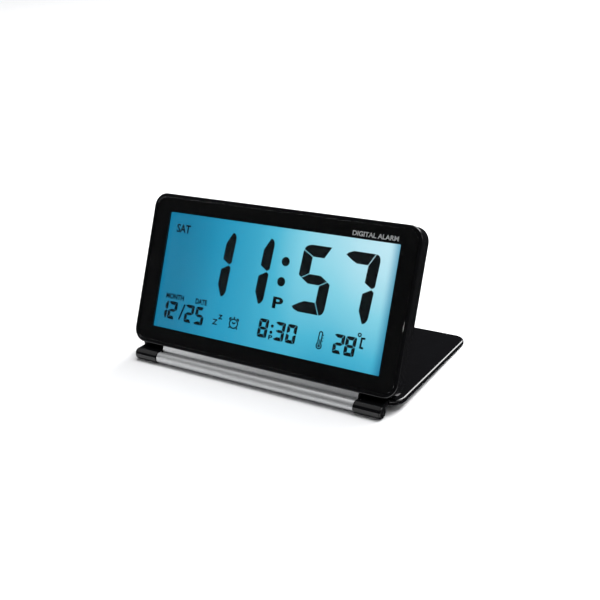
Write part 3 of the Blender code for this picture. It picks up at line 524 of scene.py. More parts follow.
def carve(target: bpy.types.Object, tools: Sequence[Skin], operation: str = "DIFFERENCE") -> None:
    """Cuts skins from a solid, or joins them to it, and keeps only the result.

    The exact solver turns the rear cover's open cup inside out, and the manifold one doesn't.

    Args:
        target: The solid, which gets the resulting mesh.
        tools: The skins to cut or join.
        operation: The Boolean's operation.
    """
    helpers = [solid(f"{target.name}_tool_{index}", tool) for index, tool in enumerate(tools)]
    for helper in helpers:
        boolean = target.modifiers.new(helper.name, "BOOLEAN")
        boolean.operation = operation
        boolean.solver = "MANIFOLD"
        boolean.object = helper
    graph = bpy.context.evaluated_depsgraph_get()
    carved = bpy.data.meshes.new_from_object(target.evaluated_get(graph))
    target.modifiers.clear()
    old = target.data
    target.data = carved
    bpy.data.meshes.remove(old)
    for helper in helpers:
        bpy.data.meshes.remove(helper.data)


# Finishes


def linear(colour: str) -> tuple[float, float, float, float]:
    """An sRGB hex value as linear red, green, blue and a full alpha."""
    shares = np.array([int(colour[place : place + 2], 16) for place in (1, 3, 5)]) / 255
    bright = ((shares + 0.055) / 1.055) ** 2.4
    red, green, blue = np.where(shares <= 0.04045, shares / 12.92, bright).tolist()
    return red, green, blue, 1.0


def add_node(
    tree: bpy.types.NodeTree, kind: str, settings: dict | None = None, links: dict | None = None
) -> bpy.types.Node:
    """Adds one node with its settings and links.

    Args:
        tree: The material's or world's nodes.
        kind: Blender's name for the node.
        settings: Values of its properties by name, or of its inputs by name or number.
        links: The output socket that feeds each input, by the input's name or number.

    Returns:
        The node.
    """
    made = tree.nodes.new(kind)
    for key, value in (settings or {}).items():
        if isinstance(key, str) and key.islower() and hasattr(made, key):
            setattr(made, key, value)
        else:
            made.inputs[key].default_value = value
    for key, socket in (links or {}).items():
        tree.links.new(socket, made.inputs[key])
    return made


def curve_ramp(node: bpy.types.Node, stops: Sequence[tuple[float, tuple]]) -> None:
    """Gives a ColorRamp its stops.

    Args:
        node: The ColorRamp.
        stops: A place from 0 to 1 and a linear colour for each stop.
    """
    elements = node.color_ramp.elements
    while len(elements) < len(stops):
        elements.new(0.5)
    for element, (place, colour) in zip(elements, stops):
        element.position = place
        element.color = colour


class Pattern(Enum):
    """How a finish varies over its surface: texture node, its output, and stretch of x, y, z."""

    GRAIN = ("ShaderNodeTexNoise", "Fac", (1.0, 1.0, 1.0))
    DRAWN = ("ShaderNodeTexNoise", "Fac", (0.12, 1.0, 1.0))
    CELLS = ("ShaderNodeTexVoronoi", "Distance", (1.0, 1.0, 1.0))
    LAYERS = ("ShaderNodeTexWave", "Fac", (1.0, 0.0, 0.0))


@dataclass(frozen=True)
class Finish:
    """A real surface: its material, how it was made, and what that does to light.

    Attributes:
        name: Common name and process.
        colour: sRGB hex value of the surface.
        tint: sRGB hex value that the pattern leads to.
        roughness: In the middle of the pattern.
        spread: How far the pattern takes the roughness up and down.
        pattern: What varies the surface.
        pitch: Real spacing of the pattern, in millimetres.
        relief: Height of the pattern, in millimetres.
        settings: Other values of the shader's own sockets.
    """

    name: str
    colour: str
    tint: str
    roughness: float
    spread: float = 0.03
    pattern: Pattern = Pattern.GRAIN
    pitch: float = 0.5
    relief: float = 0.002
    settings: tuple[tuple[str, float], ...] = ()

    def build(self) -> bpy.types.Material:
        """Makes the material: one pattern drives colour, roughness and relief.

        Returns:
            The material, made once for each finish.
        """
        return made_finish(self)


@functools.cache
def made_finish(finish: Finish) -> bpy.types.Material:
    """Makes a finish's material, reading the pattern at Object coordinates.

    Args:
        finish: What to make.

    Returns:
        The material.
    """
    material = bpy.data.materials.new(finish.name)
    material.use_nodes = True
    tree = material.node_tree
    shader = tree.nodes["Principled BSDF"]
    kind, output, stretch = finish.pattern.value
    place = add_node(tree, "ShaderNodeTexCoord")
    scale = tuple(share / (finish.pitch * MM) for share in stretch)
    spot = add_node(
        tree, "ShaderNodeMapping", {"Scale": scale}, {"Vector": place.outputs["Object"]}
    )
    texture = add_node(tree, kind, {"Scale": 1.0}, {"Vector": spot.outputs["Vector"]})
    if finish.pattern in (Pattern.GRAIN, Pattern.DRAWN):
        texture.inputs["Detail"].default_value = 3.0
    fac = texture.outputs[output]
    mix = add_node(
        tree,
        "ShaderNodeMix",
        {"data_type": "RGBA", 6: linear(finish.colour), 7: linear(finish.tint)},
        {0: fac},
    )
    tree.links.new(mix.outputs[2], shader.inputs["Base Color"])
    low, high = finish.roughness - finish.spread, finish.roughness + finish.spread
    rough = add_node(
        tree, "ShaderNodeMapRange", {"From Min": 0.25, "From Max": 0.75,
                                     "To Min": max(low, 0.0), "To Max": high}, {"Value": fac}
    )
    tree.links.new(rough.outputs["Result"], shader.inputs["Roughness"])
    bump = add_node(
        tree, "ShaderNodeBump", {"Distance": finish.relief * MM, "Strength": 1.0}, {"Height": fac}
    )
    tree.links.new(bump.outputs["Normal"], shader.inputs["Normal"])
    for key, value in finish.settings:
        shader.inputs[key].default_value = value
    return material


# Injection-moulded ABS from a polished tool: near-black, mirror-like, with a faint long waviness
PIANO_ABS = Finish(
    "polished_black_abs", "#070708", "#0B0B0D", 0.075, 0.02, pitch=4.0, relief=0.004,
    settings=(("IOR", 1.52),),
)
# The same plastic from a spark-eroded tool: satin black with a grain that breaks up reflections.
# The real grain is 0.1 mm and is drawn at 0.25 mm so that it shows.
ERODED_ABS = Finish(
    "spark_eroded_black_abs", "#0E0E10", "#1A1A1C", 0.46, 0.08, pitch=0.25, relief=0.012,
    settings=(("IOR", 1.52),),
)
# Keys in matt polycarbonate: a shade lighter than the case, with a very fine grain
KEY_PLASTIC = Finish(
    "matt_black_polycarbonate", "#161618", "#222225", 0.4, 0.06, pitch=0.3, relief=0.008,
    settings=(("IOR", 1.58),),
)
# Bead-blasted and anodised aluminium tube: silver with a short drawn sparkle along its length.
# Blasting pits are 0.05 mm and are drawn at 0.22 mm so that they show.
SATIN_ANODISED = Finish(
    "blasted_anodised_aluminium", "#9C9D9F", "#DDDEDF", 0.44, 0.08, Pattern.GRAIN,
    pitch=0.22, relief=0.012, settings=(("Metallic", 1.0),),
)
# Cast acrylic sheet, polished: clear, hard and mirror smooth
CLEAR_ACRYLIC = Finish(
    "cast_clear_acrylic", "#FCFDFD", "#FFFFFF", 0.012, 0.008, pitch=9.0, relief=0.0004,
    settings=(("IOR", 1.49), ("Transmission Weight", 1.0)),
)
# Black silk-screen ink on the window's back: dead flat and slightly mottled, with no gloss of
# its own where it is bonded to the acrylic
SCREEN_INK = Finish(
    "black_screen_ink", "#050505", "#090909", 0.6, 0.08, pitch=0.4, relief=0.001,
    settings=(("Specular IOR Level", 0.04),),
)
# White silk-screen ink: opaque, with a slightly uneven film
WHITE_INK = Finish(
    "white_screen_ink", "#E4E6E6", "#F6F7F7", 0.55, 0.05, pitch=0.3, relief=0.002,
)
# Grey pad-print on the back, thin enough for the plastic to darken it
GREY_INK = Finish(
    "grey_pad_print", "#8C9092", "#A6AAAC", 0.5, 0.06, pitch=0.25, relief=0.001,
)
# Twisted liquid crystal under crossed polarisers: almost no light comes through
LIT_SEGMENT = Finish(
    "dark_liquid_crystal", "#101A1C", "#171E20", 0.5, 0.04, pitch=0.6, relief=0.0,
    settings=(("Specular IOR Level", 0.04),),
)
# Iodine-dyed polariser film: a faint smoky sheet
POLARISER = Finish(
    "iodine_polariser_film", "#59626A", "#626B72", 0.12, 0.03, pitch=2.0, relief=0.0004,
    settings=(("Alpha", 0.05), ("Specular IOR Level", 0.02)),
)
# Soda-lime float glass, cut and ground at its edges
LCD_GLASS = Finish(
    "soda_lime_glass", "#EFF6F3", "#F6FAF8", 0.02, 0.01, pitch=6.0, relief=0.0004,
    settings=(("IOR", 1.52), ("Transmission Weight", 1.0)),
)
# Moulded light guide with its etched dots, 0.6 mm apart
GUIDE_ACRYLIC = Finish(
    "dot_etched_acrylic", "#EAF4F7", "#FFFFFF", 0.16, 0.1, Pattern.CELLS, 0.6, 0.02,
    settings=(("IOR", 1.49), ("Transmission Weight", 0.8)),
)
# Foamed white polyester reflector: bright and matt
WHITE_FILM = Finish("foamed_white_polyester", "#EEEFEA", "#F8F8F4", 0.5, 0.06, pitch=0.3)
# White ABS moulding behind the glass
WHITE_ABS = Finish("moulded_white_abs", "#DFE0DA", "#EBEBE6", 0.42, 0.06, pitch=0.4, relief=0.006)
# Glass-epoxy board under green solder resist: islands of copper show through as lighter cells
SOLDER_RESIST = Finish(
    "green_solder_resist", "#0C3A22", "#2B6B3E", 0.3, 0.06, Pattern.CELLS, 1.6, 0.02,
)
# Black epoxy dropped over the bare chip: a smooth glossy dome
DROP_EPOXY = Finish("black_drop_epoxy", "#101011", "#18181A", 0.22, 0.05, pitch=1.2, relief=0.01)
# Silicone strip of conducting and insulating layers, 0.1 mm apart and drawn at 0.3 mm
ZEBRA_STRIP = Finish(
    "layered_silicone_strip", "#2B2B2E", "#C9B7B1", 0.6, 0.05, Pattern.LAYERS, 0.3, 0.004,
)
# Potted white LED: milky resin with a yellow phosphor cast
LED_RESIN = Finish("phosphor_led_resin", "#E9E2B8", "#F6F3DE", 0.25, 0.05, pitch=0.5, relief=0.004)
# Zinc-plated steel: bluish grey with a fine crystalline bloom
ZINC_STEEL = Finish(
    "zinc_plated_steel", "#8E9296", "#B4B8BC", 0.3, 0.08, pitch=0.4, relief=0.004,
    settings=(("Metallic", 1.0),),
)
# Case screws, blackened: dark oxide over steel
BLACK_STEEL = Finish(
    "black_oxide_steel", "#1D1D1F", "#2C2C2F", 0.34, 0.08, pitch=0.3, relief=0.005,
    settings=(("Metallic", 1.0),),
)
# Ground and hardened steel pins, with grinding marks round them
GROUND_STEEL = Finish(
    "ground_spring_steel", "#9A9C9E", "#C8CACB", 0.24, 0.07, Pattern.LAYERS, 0.2, 0.003,
    settings=(("Metallic", 1.0),),
)
# Nickel-plated phosphor bronze: a warm, bright spring metal with drawn lines
NICKEL_SPRING = Finish(
    "nickel_plated_bronze", "#B9B4A8", "#D6D2C8", 0.25, 0.07, Pattern.DRAWN, 0.25, 0.003,
    settings=(("Metallic", 1.0),),
)
# Rolled brass disc of the buzzer
ROLLED_BRASS = Finish(
    "rolled_brass", "#B08D3E", "#CDAE62", 0.3, 0.08, Pattern.DRAWN, 0.3, 0.004,
    settings=(("Metallic", 1.0),),
)
# Moulded thermoplastic rubber feet: matt, slightly dusty black
MOULDED_RUBBER = Finish(
    "moulded_rubber", "#131314", "#222223", 0.78, 0.08, pitch=0.35, relief=0.02,
)
# Flocked felt: short dense fibres that catch light at a glancing angle.
# A fibre is 0.02 mm thick; tufts are drawn at 0.3 mm.
FLOCKED_FELT = Finish(
    "flocked_felt", "#17181B", "#2A2B2F", 0.95, 0.05, pitch=0.3, relief=0.06,
    settings=(("Sheen Weight", 0.35), ("Sheen Roughness", 0.4)),
)
# Acrylic foam tape round the window
FOAM_TAPE = Finish("black_foam_tape", "#0E0E0F", "#1A1A1B", 0.85, 0.06, pitch=0.4, relief=0.02)

# Pale matt paper of the studio floor
MATT_PAPER = Finish("matt_paper_floor", "#F2F3F4", "#F6F6F7", 0.9, 0.03, pitch=30, relief=0.0)


@dataclass(frozen=True)
class Backlight:
    """LED backlight behind blue-green LCD glass: brightest near the LEDs at the right.

    Brightness is a curve across the width, dimmed towards the bottom on the right half, and the
    glass's right edge is darkened by a painted shadow that stands in for the bezel's shade.

    Attributes:
        across: Brightness at shares of the view's width.
        colours: sRGB hex value at each brightness.
        fall: How much of the brightness is lost at the bottom right.
        edge: Shares of the width where the painted shadow at the right edge starts and ends.
        strength: Of the glow, which makes up for what window and film hold back.
    """

    across: tuple[tuple[float, float], ...] = (
        (0.0, 0.0), (0.1, 0.02), (0.23, 0.17), (0.43, 0.38),
        (0.52, 0.54), (0.61, 0.74), (0.8, 0.9), (0.94, 1.0),
    )
    colours: tuple[tuple[float, str], ...] = (
        (0.0, "#0D789E"), (0.25, "#2397BD"), (0.5, "#4BB6D4"), (0.75, "#85D3E6"), (1.0, "#C2EAF5"),
    )
    fall: float = 0.6
    edge: tuple[float, float] = (0.955, 1.0)
    strength: float = 1.17

    def build(self) -> bpy.types.Material:
        """Makes the glowing material, whose UV map runs from 0 to 1 over the view.

        Returns:
            The material.
        """
        material = bpy.data.materials.new("led_backlit_lcd_glass")
        material.use_nodes = True
        tree = material.node_tree
        shader = tree.nodes["Principled BSDF"]
        place = add_node(tree, "ShaderNodeTexCoord")
        spot = add_node(tree, "ShaderNodeSeparateXYZ", {}, {0: place.outputs["UV"]})
        across, up = spot.outputs["X"], spot.outputs["Y"]

        sweep = add_node(tree, "ShaderNodeValToRGB", {}, {"Fac": across})
        sweep.color_ramp.interpolation = "CARDINAL"
        curve_ramp(sweep, [(share, (grey, grey, grey, 1.0)) for share, grey in self.across])

        down = add_node(tree, "ShaderNodeMath", {"operation": "SUBTRACT", 0: 1.0}, {1: up})
        depth = add_node(tree, "ShaderNodeMath", {"operation": "POWER", 1: 1.6}, {0: down.outputs[0]})
        half = self.smooth_step(tree, across, 0.25, 0.8)
        loss = add_node(
            tree, "ShaderNodeMath", {"operation": "MULTIPLY"}, {0: depth.outputs[0], 1: half}
        )
        kept = add_node(
            tree, "ShaderNodeMath", {"operation": "MULTIPLY_ADD", 1: -self.fall, 2: 1.0},
            {0: loss.outputs[0]},
        )
        bright = add_node(
            tree, "ShaderNodeMath", {"operation": "MULTIPLY"},
            {0: sweep.outputs["Color"], 1: kept.outputs[0]},
        )
        colour = add_node(tree, "ShaderNodeValToRGB", {}, {"Fac": bright.outputs[0]})
        curve_ramp(colour, [(share, linear(value)) for share, value in self.colours])
        # Painted shadow: the glow's right edge is multiplied towards #7FB2C6, standing in for the bezel's
        # shade.
        shade = self.smooth_step(tree, across, *self.edge)
        painted_shadow_glow = add_node(
            tree, "ShaderNodeMix",
            {"data_type": "RGBA", "blend_type": "MULTIPLY", 7: linear("#7FB2C6")},
            {0: shade, 6: colour.outputs["Color"]},
        )
        tree.links.new(painted_shadow_glow.outputs[2], shader.inputs["Emission Color"])
        shader.inputs["Emission Strength"].default_value = self.strength
        shader.inputs["Base Color"].default_value = linear("#06222C")
        shader.inputs["Roughness"].default_value = 0.3
        return material

    @staticmethod
    def smooth_step(
        tree: bpy.types.NodeTree, value: bpy.types.NodeSocket, start: float, end: float
    ) -> bpy.types.NodeSocket:
        """A smooth rise from 0 to 1 between two values."""
        settings = {"interpolation_type": "SMOOTHSTEP", "From Min": start, "From Max": end}
        return add_node(tree, "ShaderNodeMapRange", settings, {"Value": value}).outputs["Result"]


# Pieces


@dataclass(frozen=True)
class Place:
    """Where a piece belongs: the slab it was drawn in, and the CAD body it moves with."""

    slab: SlabFrame
    body: str


def finish_piece(
    made: bpy.types.Object,
    place: Place,
    finish: Finish | Backlight,
    replaces: Sequence[str] = (),
    bevel: float = 0.0,
) -> bpy.types.Object:
    """Takes a solid to its place, dresses it, and puts it on its body.

    Args:
        made: The solid, in its slab's frame.
        place: Its slab and body.
        finish: Its material.
        replaces: CAD nodes that it stands for.
        bevel: Width of a small bevel on its sharp edges, in millimetres.

    Returns:
        The piece.
    """
    made.data.transform(place.slab.matrix)
    made.data.materials.clear()
    made.data.materials.append(finish.build())
    made.data.shade_smooth()
    made.data.set_sharp_from_angle(angle=math.radians(32))
    if bevel:
        rounding = made.modifiers.new("edge", "BEVEL")
        rounding.width = bevel * MM
        rounding.segments = 2
        rounding.limit_method = "ANGLE"
        rounding.angle_limit = math.radians(40)
        rounding.use_clamp_overlap = True
        rounding.harden_normals = True
    weighted = made.modifiers.new("flat_faces", "WEIGHTED_NORMAL")
    weighted.keep_sharp = True
    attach(made, place.body)
    if replaces:
        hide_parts(*replaces)
    LOG.info("%s: %d faces, on %s", made.name, len(made.data.polygons), place.body)
    return made


def dress_node(node: str, finish: Finish) -> None:
    """Gives a carried-over CAD node its finish.

    Args:
        node: The node's name.
        finish: Its material.
    """
    made = frame["nodes"][node]
    made.data.materials.clear()
    made.data.materials.append(finish.build())
    LOG.info("%s: carried over in %s", node, finish.name)


def box_outline(extent: tuple[Points, Points], inset: float, radius: float) -> Points:
    """A rounded outline inside an extent's x and s, its corners drawn in with the inset."""
    low, high = extent[0][:2] + inset, extent[1][:2] - inset
    return rounded_box(low, high, max(radius - inset, 0.2))


def edge_levels(
    outline: Callable[[float], Points], start: float, face: float, radius: float, steps: int = 8
) -> list[tuple[Points, float]]:
    """Levels of a quarter-round edge, from the side up to a face.

    At each angle the outline is drawn in by the radius less its cosine part, and the height is
    short of the face by the radius less its sine part, towards the side it came from.

    Args:
        outline: The outline at an inset.
        start: Inset of the side wall.
        face: Height of the face.
        radius: Of the edge, negative where the face points down.
        steps: Steps in the quarter.

    Returns:
        Outlines with their heights.
    """
    angles = np.radians(np.linspace(0, 90, steps + 1))
    insets = start + abs(radius) * (1 - np.cos(angles))
    heights = face - radius * (1 - np.sin(angles))
    return [(outline(inset), height) for inset, height in zip(insets.tolist(), heights.tolist())]


def quarter_round(side: float, face: float, wide: float, deep: float) -> list[tuple[float, float]]:
    """A turned edge: a quarter of an ellipse from a flat face out to the side.

    Args:
        side: Radius of the side.
        face: Height of the face.
        wide: How far the edge reaches in from the side.
        deep: How far it reaches from the face.

    Returns:
        A radius and a height for each point.
    """
    angles = np.radians(np.linspace(90, 0, 7)).tolist()
    return [(side - wide * (1 - math.cos(a)), face + deep * (1 - math.sin(a))) for a in angles]


@dataclass(frozen=True)
class PanHeadScrew:
    """Shape of a case screw: a domed head with a cross recess, and a shank with a tip.

    Attributes:
        head: Radius of the head, and its thickness.
        dome: Width and depth of the rounding round the head.
        shank: Radius of the shank, and of the tip's end.
        tip: Length of the tip.
        arm: Half length and half width of the cross recess's arms.
        recess: Depth of the cross recess.
    """

    head: tuple[float, float] = (1.4, 0.8)
    dome: tuple[float, float] = (0.4, 0.35)
    shank: tuple[float, float] = (0.75, 0.38)
    tip: float = 0.4
    arm: tuple[float, float] = (0.87, 0.2)
    recess: float = 0.45

    def profile(self, top: float, end: float) -> list[tuple[float, float]]:
        """The profile to turn: over the head, along the shank and down to the tip.

        Args:
            top: Height of the head's face.
            end: Height of the tip's end.

        Returns:
            A radius and a height for each point.
        """
        radius, seat = self.head[0], top + self.head[1]
        shank, point = self.shank
        dome = quarter_round(radius, top, *self.dome)
        return dome + [(radius, seat), (shank, seat), (shank, end - self.tip), (point, end)]

    def cross(self, spot: Points, top: float) -> list[Skin]:
        """Cutters for the cross recess.

        Args:
            spot: The screw's middle in x and s.
            top: Height of the head's face.

        Returns:
            One closed surface for each arm.
        """
        arms = [np.array(self.arm), np.array(self.arm[::-1])]
        boxes = [rounded_box(spot - arm, spot + arm, 0.05, 2) for arm in arms]
        return [prism(box, top - OVERCUT, top + self.recess) for box in boxes]


SCREW = PanHeadScrew()


@dataclass
class DisplayCase:
    """The display case's own pieces: bezel, rear cover, window, hinge trim and screws.

    Attributes:
        slab: The display's frame.
        corner: Radius of the case's corners.
        wall: Thickness of the bezel's side wall.
        edge: Radius of the bezel's front edge.
        ledge: Thickness of the ledge behind the window.
        ledge_front: Height of the ledge's front.
        view_corner: Radius of the view's corners.
        film_past_view: How far the polariser reaches past the view.
        shell_wall: Thickness of the rear cover.
        back_edge: Radius of the rear cover's edge.
        gap: Between pieces that lie against each other.
        door_recess: Depth of the battery door's seat.
        door_ring: How far the door's opening lies inside the door's edge.
        lug_slot: How far a lug's slot starts and ends inside the door's edge.
        lug_turns: Where the two lugs go in, in degrees.
        lug_spread: Length of a lug's slot, in degrees.
        sound_hole: Radius of a sound hole, and of the reset hole.
        sound_ring: Radius of the ring of sound holes.
        reset_drop: How far the reset hole lies below the row of keys.
        screw_room: Radius of the recess for a screw's head, and of the hole for its shank.
        screw_seat: Depth of metal head in that recess.
        screw_column: Radius of the column round a screw, and its length past the head.
        border_film: Where the border print starts and ends behind the window.
        title_film: Where the title print starts and ends behind the window.
        title_size: Width and height of the title.
        title_margin: From the view's upper right corner to the title's lower right corner.
        groove_depth: Of the groove between barrel and strip.
        groove_ends: Where the groove ends past the barrel, at its floor and at its top.
        trim_back: Height of the trim's back.
        trim_start: How far outside the side wall's inner face the trim's back starts.
        tongue_room: Between the ledge and the trim's tongue.
        sleeve_bore: Radius of the barrel's bores.
    """

    slab: SlabFrame
    corner: float = 6.0
    wall: float = 1.5
    edge: float = 0.5
    ledge: float = 0.9
    ledge_front: float = -1.0
    view_corner: float = 0.4
    film_past_view: float = 0.425
    shell_wall: float = 1.2
    back_edge: float = 5.5
    gap: float = 0.1
    door_recess: float = 0.6
    door_ring: float = 2.1
    lug_slot: tuple[float, float] = (3.1, 0.5)
    lug_turns: tuple[float, float] = (50.0, 230.0)
    lug_spread: float = 40.0
    sound_hole: float = 0.6
    sound_ring: float = 3.75
    reset_drop: float = 12.0
    screw_room: tuple[float, float] = (1.5, 0.85)
    screw_seat: float = 0.9
    screw_column: tuple[float, float] = (2.25, 2.6)
    border_film: tuple[float, float] = (0.045, 0.085)
    title_film: tuple[float, float] = (0.015, 0.035)
    title_size: tuple[float, float] = (20.0, 2.0)
    title_margin: tuple[float, float] = (1.2, 0.95)
    groove_depth: float = 0.25
    groove_ends: tuple[float, float] = (0.35, 0.55)
    trim_back: float = -3.3
    trim_start: float = 3.3
    tongue_room: float = 0.3
    sleeve_bore: float = 1.6
    place: Place = field(init=False)
    case: tuple[Points, Points] = field(init=False)
    back: float = field(init=False)

    def __post_init__(self) -> None:
        """Reads the case's box and the height of its back from the frame."""
        self.place = Place(self.slab, "display")
        self.case = self.slab.extent("front_frame")
        self.back = float(self.slab.extent("rear_shell")[0][2])

    def outline(self, inset: float) -> Points:
        """The case's outline, drawn in by an inset."""
        return box_outline(self.case, inset, self.corner)

    @property
    def view(self) -> Points:
        """Outline of what the window shows, from the polariser behind it."""
        extent = self.slab.extent("front_polariser")
        return box_outline(extent, self.film_past_view, self.film_past_view + self.view_corner)

    def build(self) -> None:
        """Builds and dresses every piece of the case."""
        self.bezel()
        self.rear_cover()
        self.window()
        self.window_print()
        self.title()
        self.hinge_trim()
        self.screws()
        dress_node("window_tape", FOAM_TAPE)

    def bezel(self) -> None:
        """Frame round the window: outlines lofted up the wall, over the edge and down to the ledge."""
        face = float(self.case[1][2])
        parting = float(self.case[0][2])
        levels = [(self.outline(0.0), parting)]
        levels += edge_levels(self.outline, 0.0, face, self.edge)
        rim = self.outline(self.wall)
        # The view has as many points as the rim, so the ledge is one band between them.
        levels += [(self.outline(self.wall - 0.08), face), (rim, face - 0.08)]
        levels += [(rim, self.ledge_front), (self.view, self.ledge_front)]
        levels += [(self.view, self.ledge_front - self.ledge)]
        levels += [(rim, self.ledge_front - self.ledge), (rim, parting)]
        made = solid("bezel", loft(levels, ring=True))
        trim = self.slab.extent("hinge_trim")
        low = (trim[0][0] - self.gap, self.case[0][1] - OVERCUT)
        high = (trim[1][0] + self.gap, self.case[0][1] + self.wall + self.gap)
        notch = rounded_box(low, high, 0.05, 2)
        carve(made, [prism(notch, parting - OVERCUT, self.ledge_front - 0.1)])
        finish_piece(made, self.place, PIANO_ABS, ["front_frame"])

    def rear_cover(self) -> None:
        """Shallow pillow: outlines lofted from the flat back over a round edge, and back inside."""
        step = 0.3
        rim = float(self.case[0][2]) - self.gap
        inner = self.back_edge - self.shell_wall
        inside = self.back + self.shell_wall
        outer_side = edge_levels(self.outline, step, self.back, -self.back_edge, 14)[::-1]
        inner_side = edge_levels(self.outline, step + self.shell_wall, inside, -inner, 14)
        levels = outer_side + [(self.outline(step), rim)]
        levels += [(self.outline(step + self.shell_wall), rim)] + inner_side
        made = solid("rear_cover", loft(levels))
        thick, past = self.screw_column
        columns = [
            prism(circle(spot, thick), inside - self.gap, self.slab.extent(name)[0][2] + past)
            for name, spot in self.screw_spots()
        ]
        carve(made, columns, "UNION")
        carve(made, self.openings(inside))
        finish_piece(made, self.place, ERODED_ABS, ["rear_shell"])

    def screw_spots(self) -> list[tuple[str, Points]]:
        """Each case screw's node and its place in x and s."""
        names = [f"case_screw_{number}" for number in range(1, 5)]
        return [(name, sum(self.slab.extent(name))[:2] / 2) for name in names]

    def openings(self, inside: float) -> list[Skin]:
        """Cutters for the battery door, keys, switch, sound holes, reset hole and screws.

        Args:
            inside: Height of the rear cover's inner face.

        Returns:
            One closed surface for each opening.
        """
        low, high = self.back - OVERCUT, inside + OVERCUT
        centre, radius = BatteryDoor(self.slab).centre_and_radius()
        seat = self.back + self.door_recess
        cutters = [prism(circle(centre, radius + self.gap, 96), low, seat)]
        # These two start at different heights inside the recess, so no two cutters share a face.
        cutters.append(prism(circle(centre, radius - self.door_ring, 96), seat - 0.4, high + 4))
        start, end = self.lug_slot
        for turn in self.lug_turns:
            slot = sector(centre, (radius - start, radius - end), turn, self.lug_spread)
            cutters.append(prism(slot, seat - 0.2, high))
        for key in KEYS:
            spot, half = key_place(self.slab, key.node)
            cutters.append(prism(stadium(spot, half, KeyShape.radius + self.gap), low, high))
        knob = self.slab.extent("alarm_switch_knob")
        middle = (knob[0][:2] + knob[1][:2]) / 2
        room = np.array(AlarmSwitch.size) / 2 + self.gap
        travel = joint("alarm_switch_slide")["range_m"][1] / MM
        cutters.append(prism(rounded_box(middle - room, middle + room + [travel, 0], 0.15, 3), low, high))
        buzzer = sum(self.slab.extent("piezo_buzzer"))[:2] / 2
        ring = circle(buzzer, self.sound_ring, 6)
        reset = np.array([middle[0], key_row(self.slab) - self.reset_drop])
        for spot in [buzzer, *ring, reset]:
            cutters.append(prism(circle(spot, self.sound_hole, 24), low, high))
        head_room, shank_room = self.screw_room
        for name, spot in self.screw_spots():
            head = float(self.slab.extent(name)[0][2])
            cutters.append(prism(circle(spot, head_room, 32), low, head + self.screw_seat))
            cutters.append(prism(circle(spot, shank_room, 24), low, high + 2))
        return cutters

    def window(self) -> None:
        """Clear window with a fine chamfer round its front."""
        extent = self.slab.extent("display_window")
        inset = self.wall + self.gap
        low, high = float(extent[0][2]), float(extent[1][2])
        levels = [(self.outline(inset + 0.05), low), (self.outline(inset), low + 0.05)]
        levels += [(self.outline(inset), high - self.gap), (self.outline(inset + self.gap), high)]
        made = solid("clear_window", loft(levels))
        finish_piece(made, self.place, CLEAR_ACRYLIC, ["display_window"])

    def window_print(self) -> None:
        """Black border printed behind the window: a flat ring from its edge to the view."""
        back = float(self.slab.extent("display_window")[0][2])
        high, low = (back - depth for depth in self.border_film)
        outer = self.outline(self.wall + 2 * self.gap)
        levels = [(outer, low), (outer, high), (self.view, high), (self.view, low)]
        made = solid("window_border_print", loft(levels, ring=True))
        finish_piece(made, self.place, SCREEN_INK)

    def title(self) -> None:
        """Generic words in white ink above the view's right end."""
        back = float(self.slab.extent("display_window")[0][2])
        right, top = self.view.max(axis=0)
        right, bottom = right - self.title_margin[0], top + self.title_margin[1]
        wide, tall = self.title_size
        low = (right - wide, bottom, back - self.title_film[1])
        high = (right, bottom + tall, back - self.title_film[0])
        made = solid("window_title_print", lettering("DIGITAL ALARM", low, high, 0.03))
        finish_piece(made, self.place, WHITE_INK)

    def hinge_trim(self) -> None:
        """Silver barrel with its strip: one outline of arc and straight runs, carried along x.

        The arc runs round the hinge axis from the groove's floor to the underside of the strip.
        """
        extent = self.slab.extent("hinge_trim")
        radius = float(-extent[0][1])
        strip, far, back = self.ledge_front - 2 * self.gap, float(extent[1][1]), self.trim_back
        groove, inside = strip - self.groove_depth, float(self.case[0][1]) + self.wall
        start = math.degrees(math.asin(groove / radius))
        barrel = elliptic_arc((0, 0), (radius, radius), start, 285, 120)
        tongue = self.ledge_front - self.ledge - self.tongue_room
        floor_end, top_end = (radius + past for past in self.groove_ends)
        runs = [(inside - self.trim_start, back), (far, back), (far, tongue), (inside, tongue)]
        runs += [(inside, strip), (top_end, strip), (floor_end, groove)]
        outline = np.concatenate([barrel, runs])
        half = float(extent[1][0])
        made = solid("hinge_barrel", prism(outline, -half, half).lying_along_x())
        bores = []
        for side in (-1, 1):
            pin = self.slab.extent("hinge_pin_left" if side < 0 else "hinge_pin_right")
            deep = float(pin[1][0]) if side < 0 else float(pin[0][0])
            bore = prism(circle((0, 0), self.sleeve_bore), deep, side * (half + OVERCUT))
            bores.append(bore.lying_along_x())
        carve(made, bores)
        finish_piece(made, self.place, SATIN_ANODISED, ["hinge_trim"], bevel=0.08)

    def screws(self) -> None:
        """Pan-head case screws with a cross recess, turned and then cut."""
        for name, spot in self.screw_spots():
            extent = self.slab.extent(name)
            top, end = float(extent[0][2]), float(extent[1][2])
            made = solid(f"{name}_turned", turned(spot, SCREW.profile(top, end)))
            carve(made, SCREW.cross(spot, top))
            finish_piece(made, self.place, BLACK_STEEL, [name])


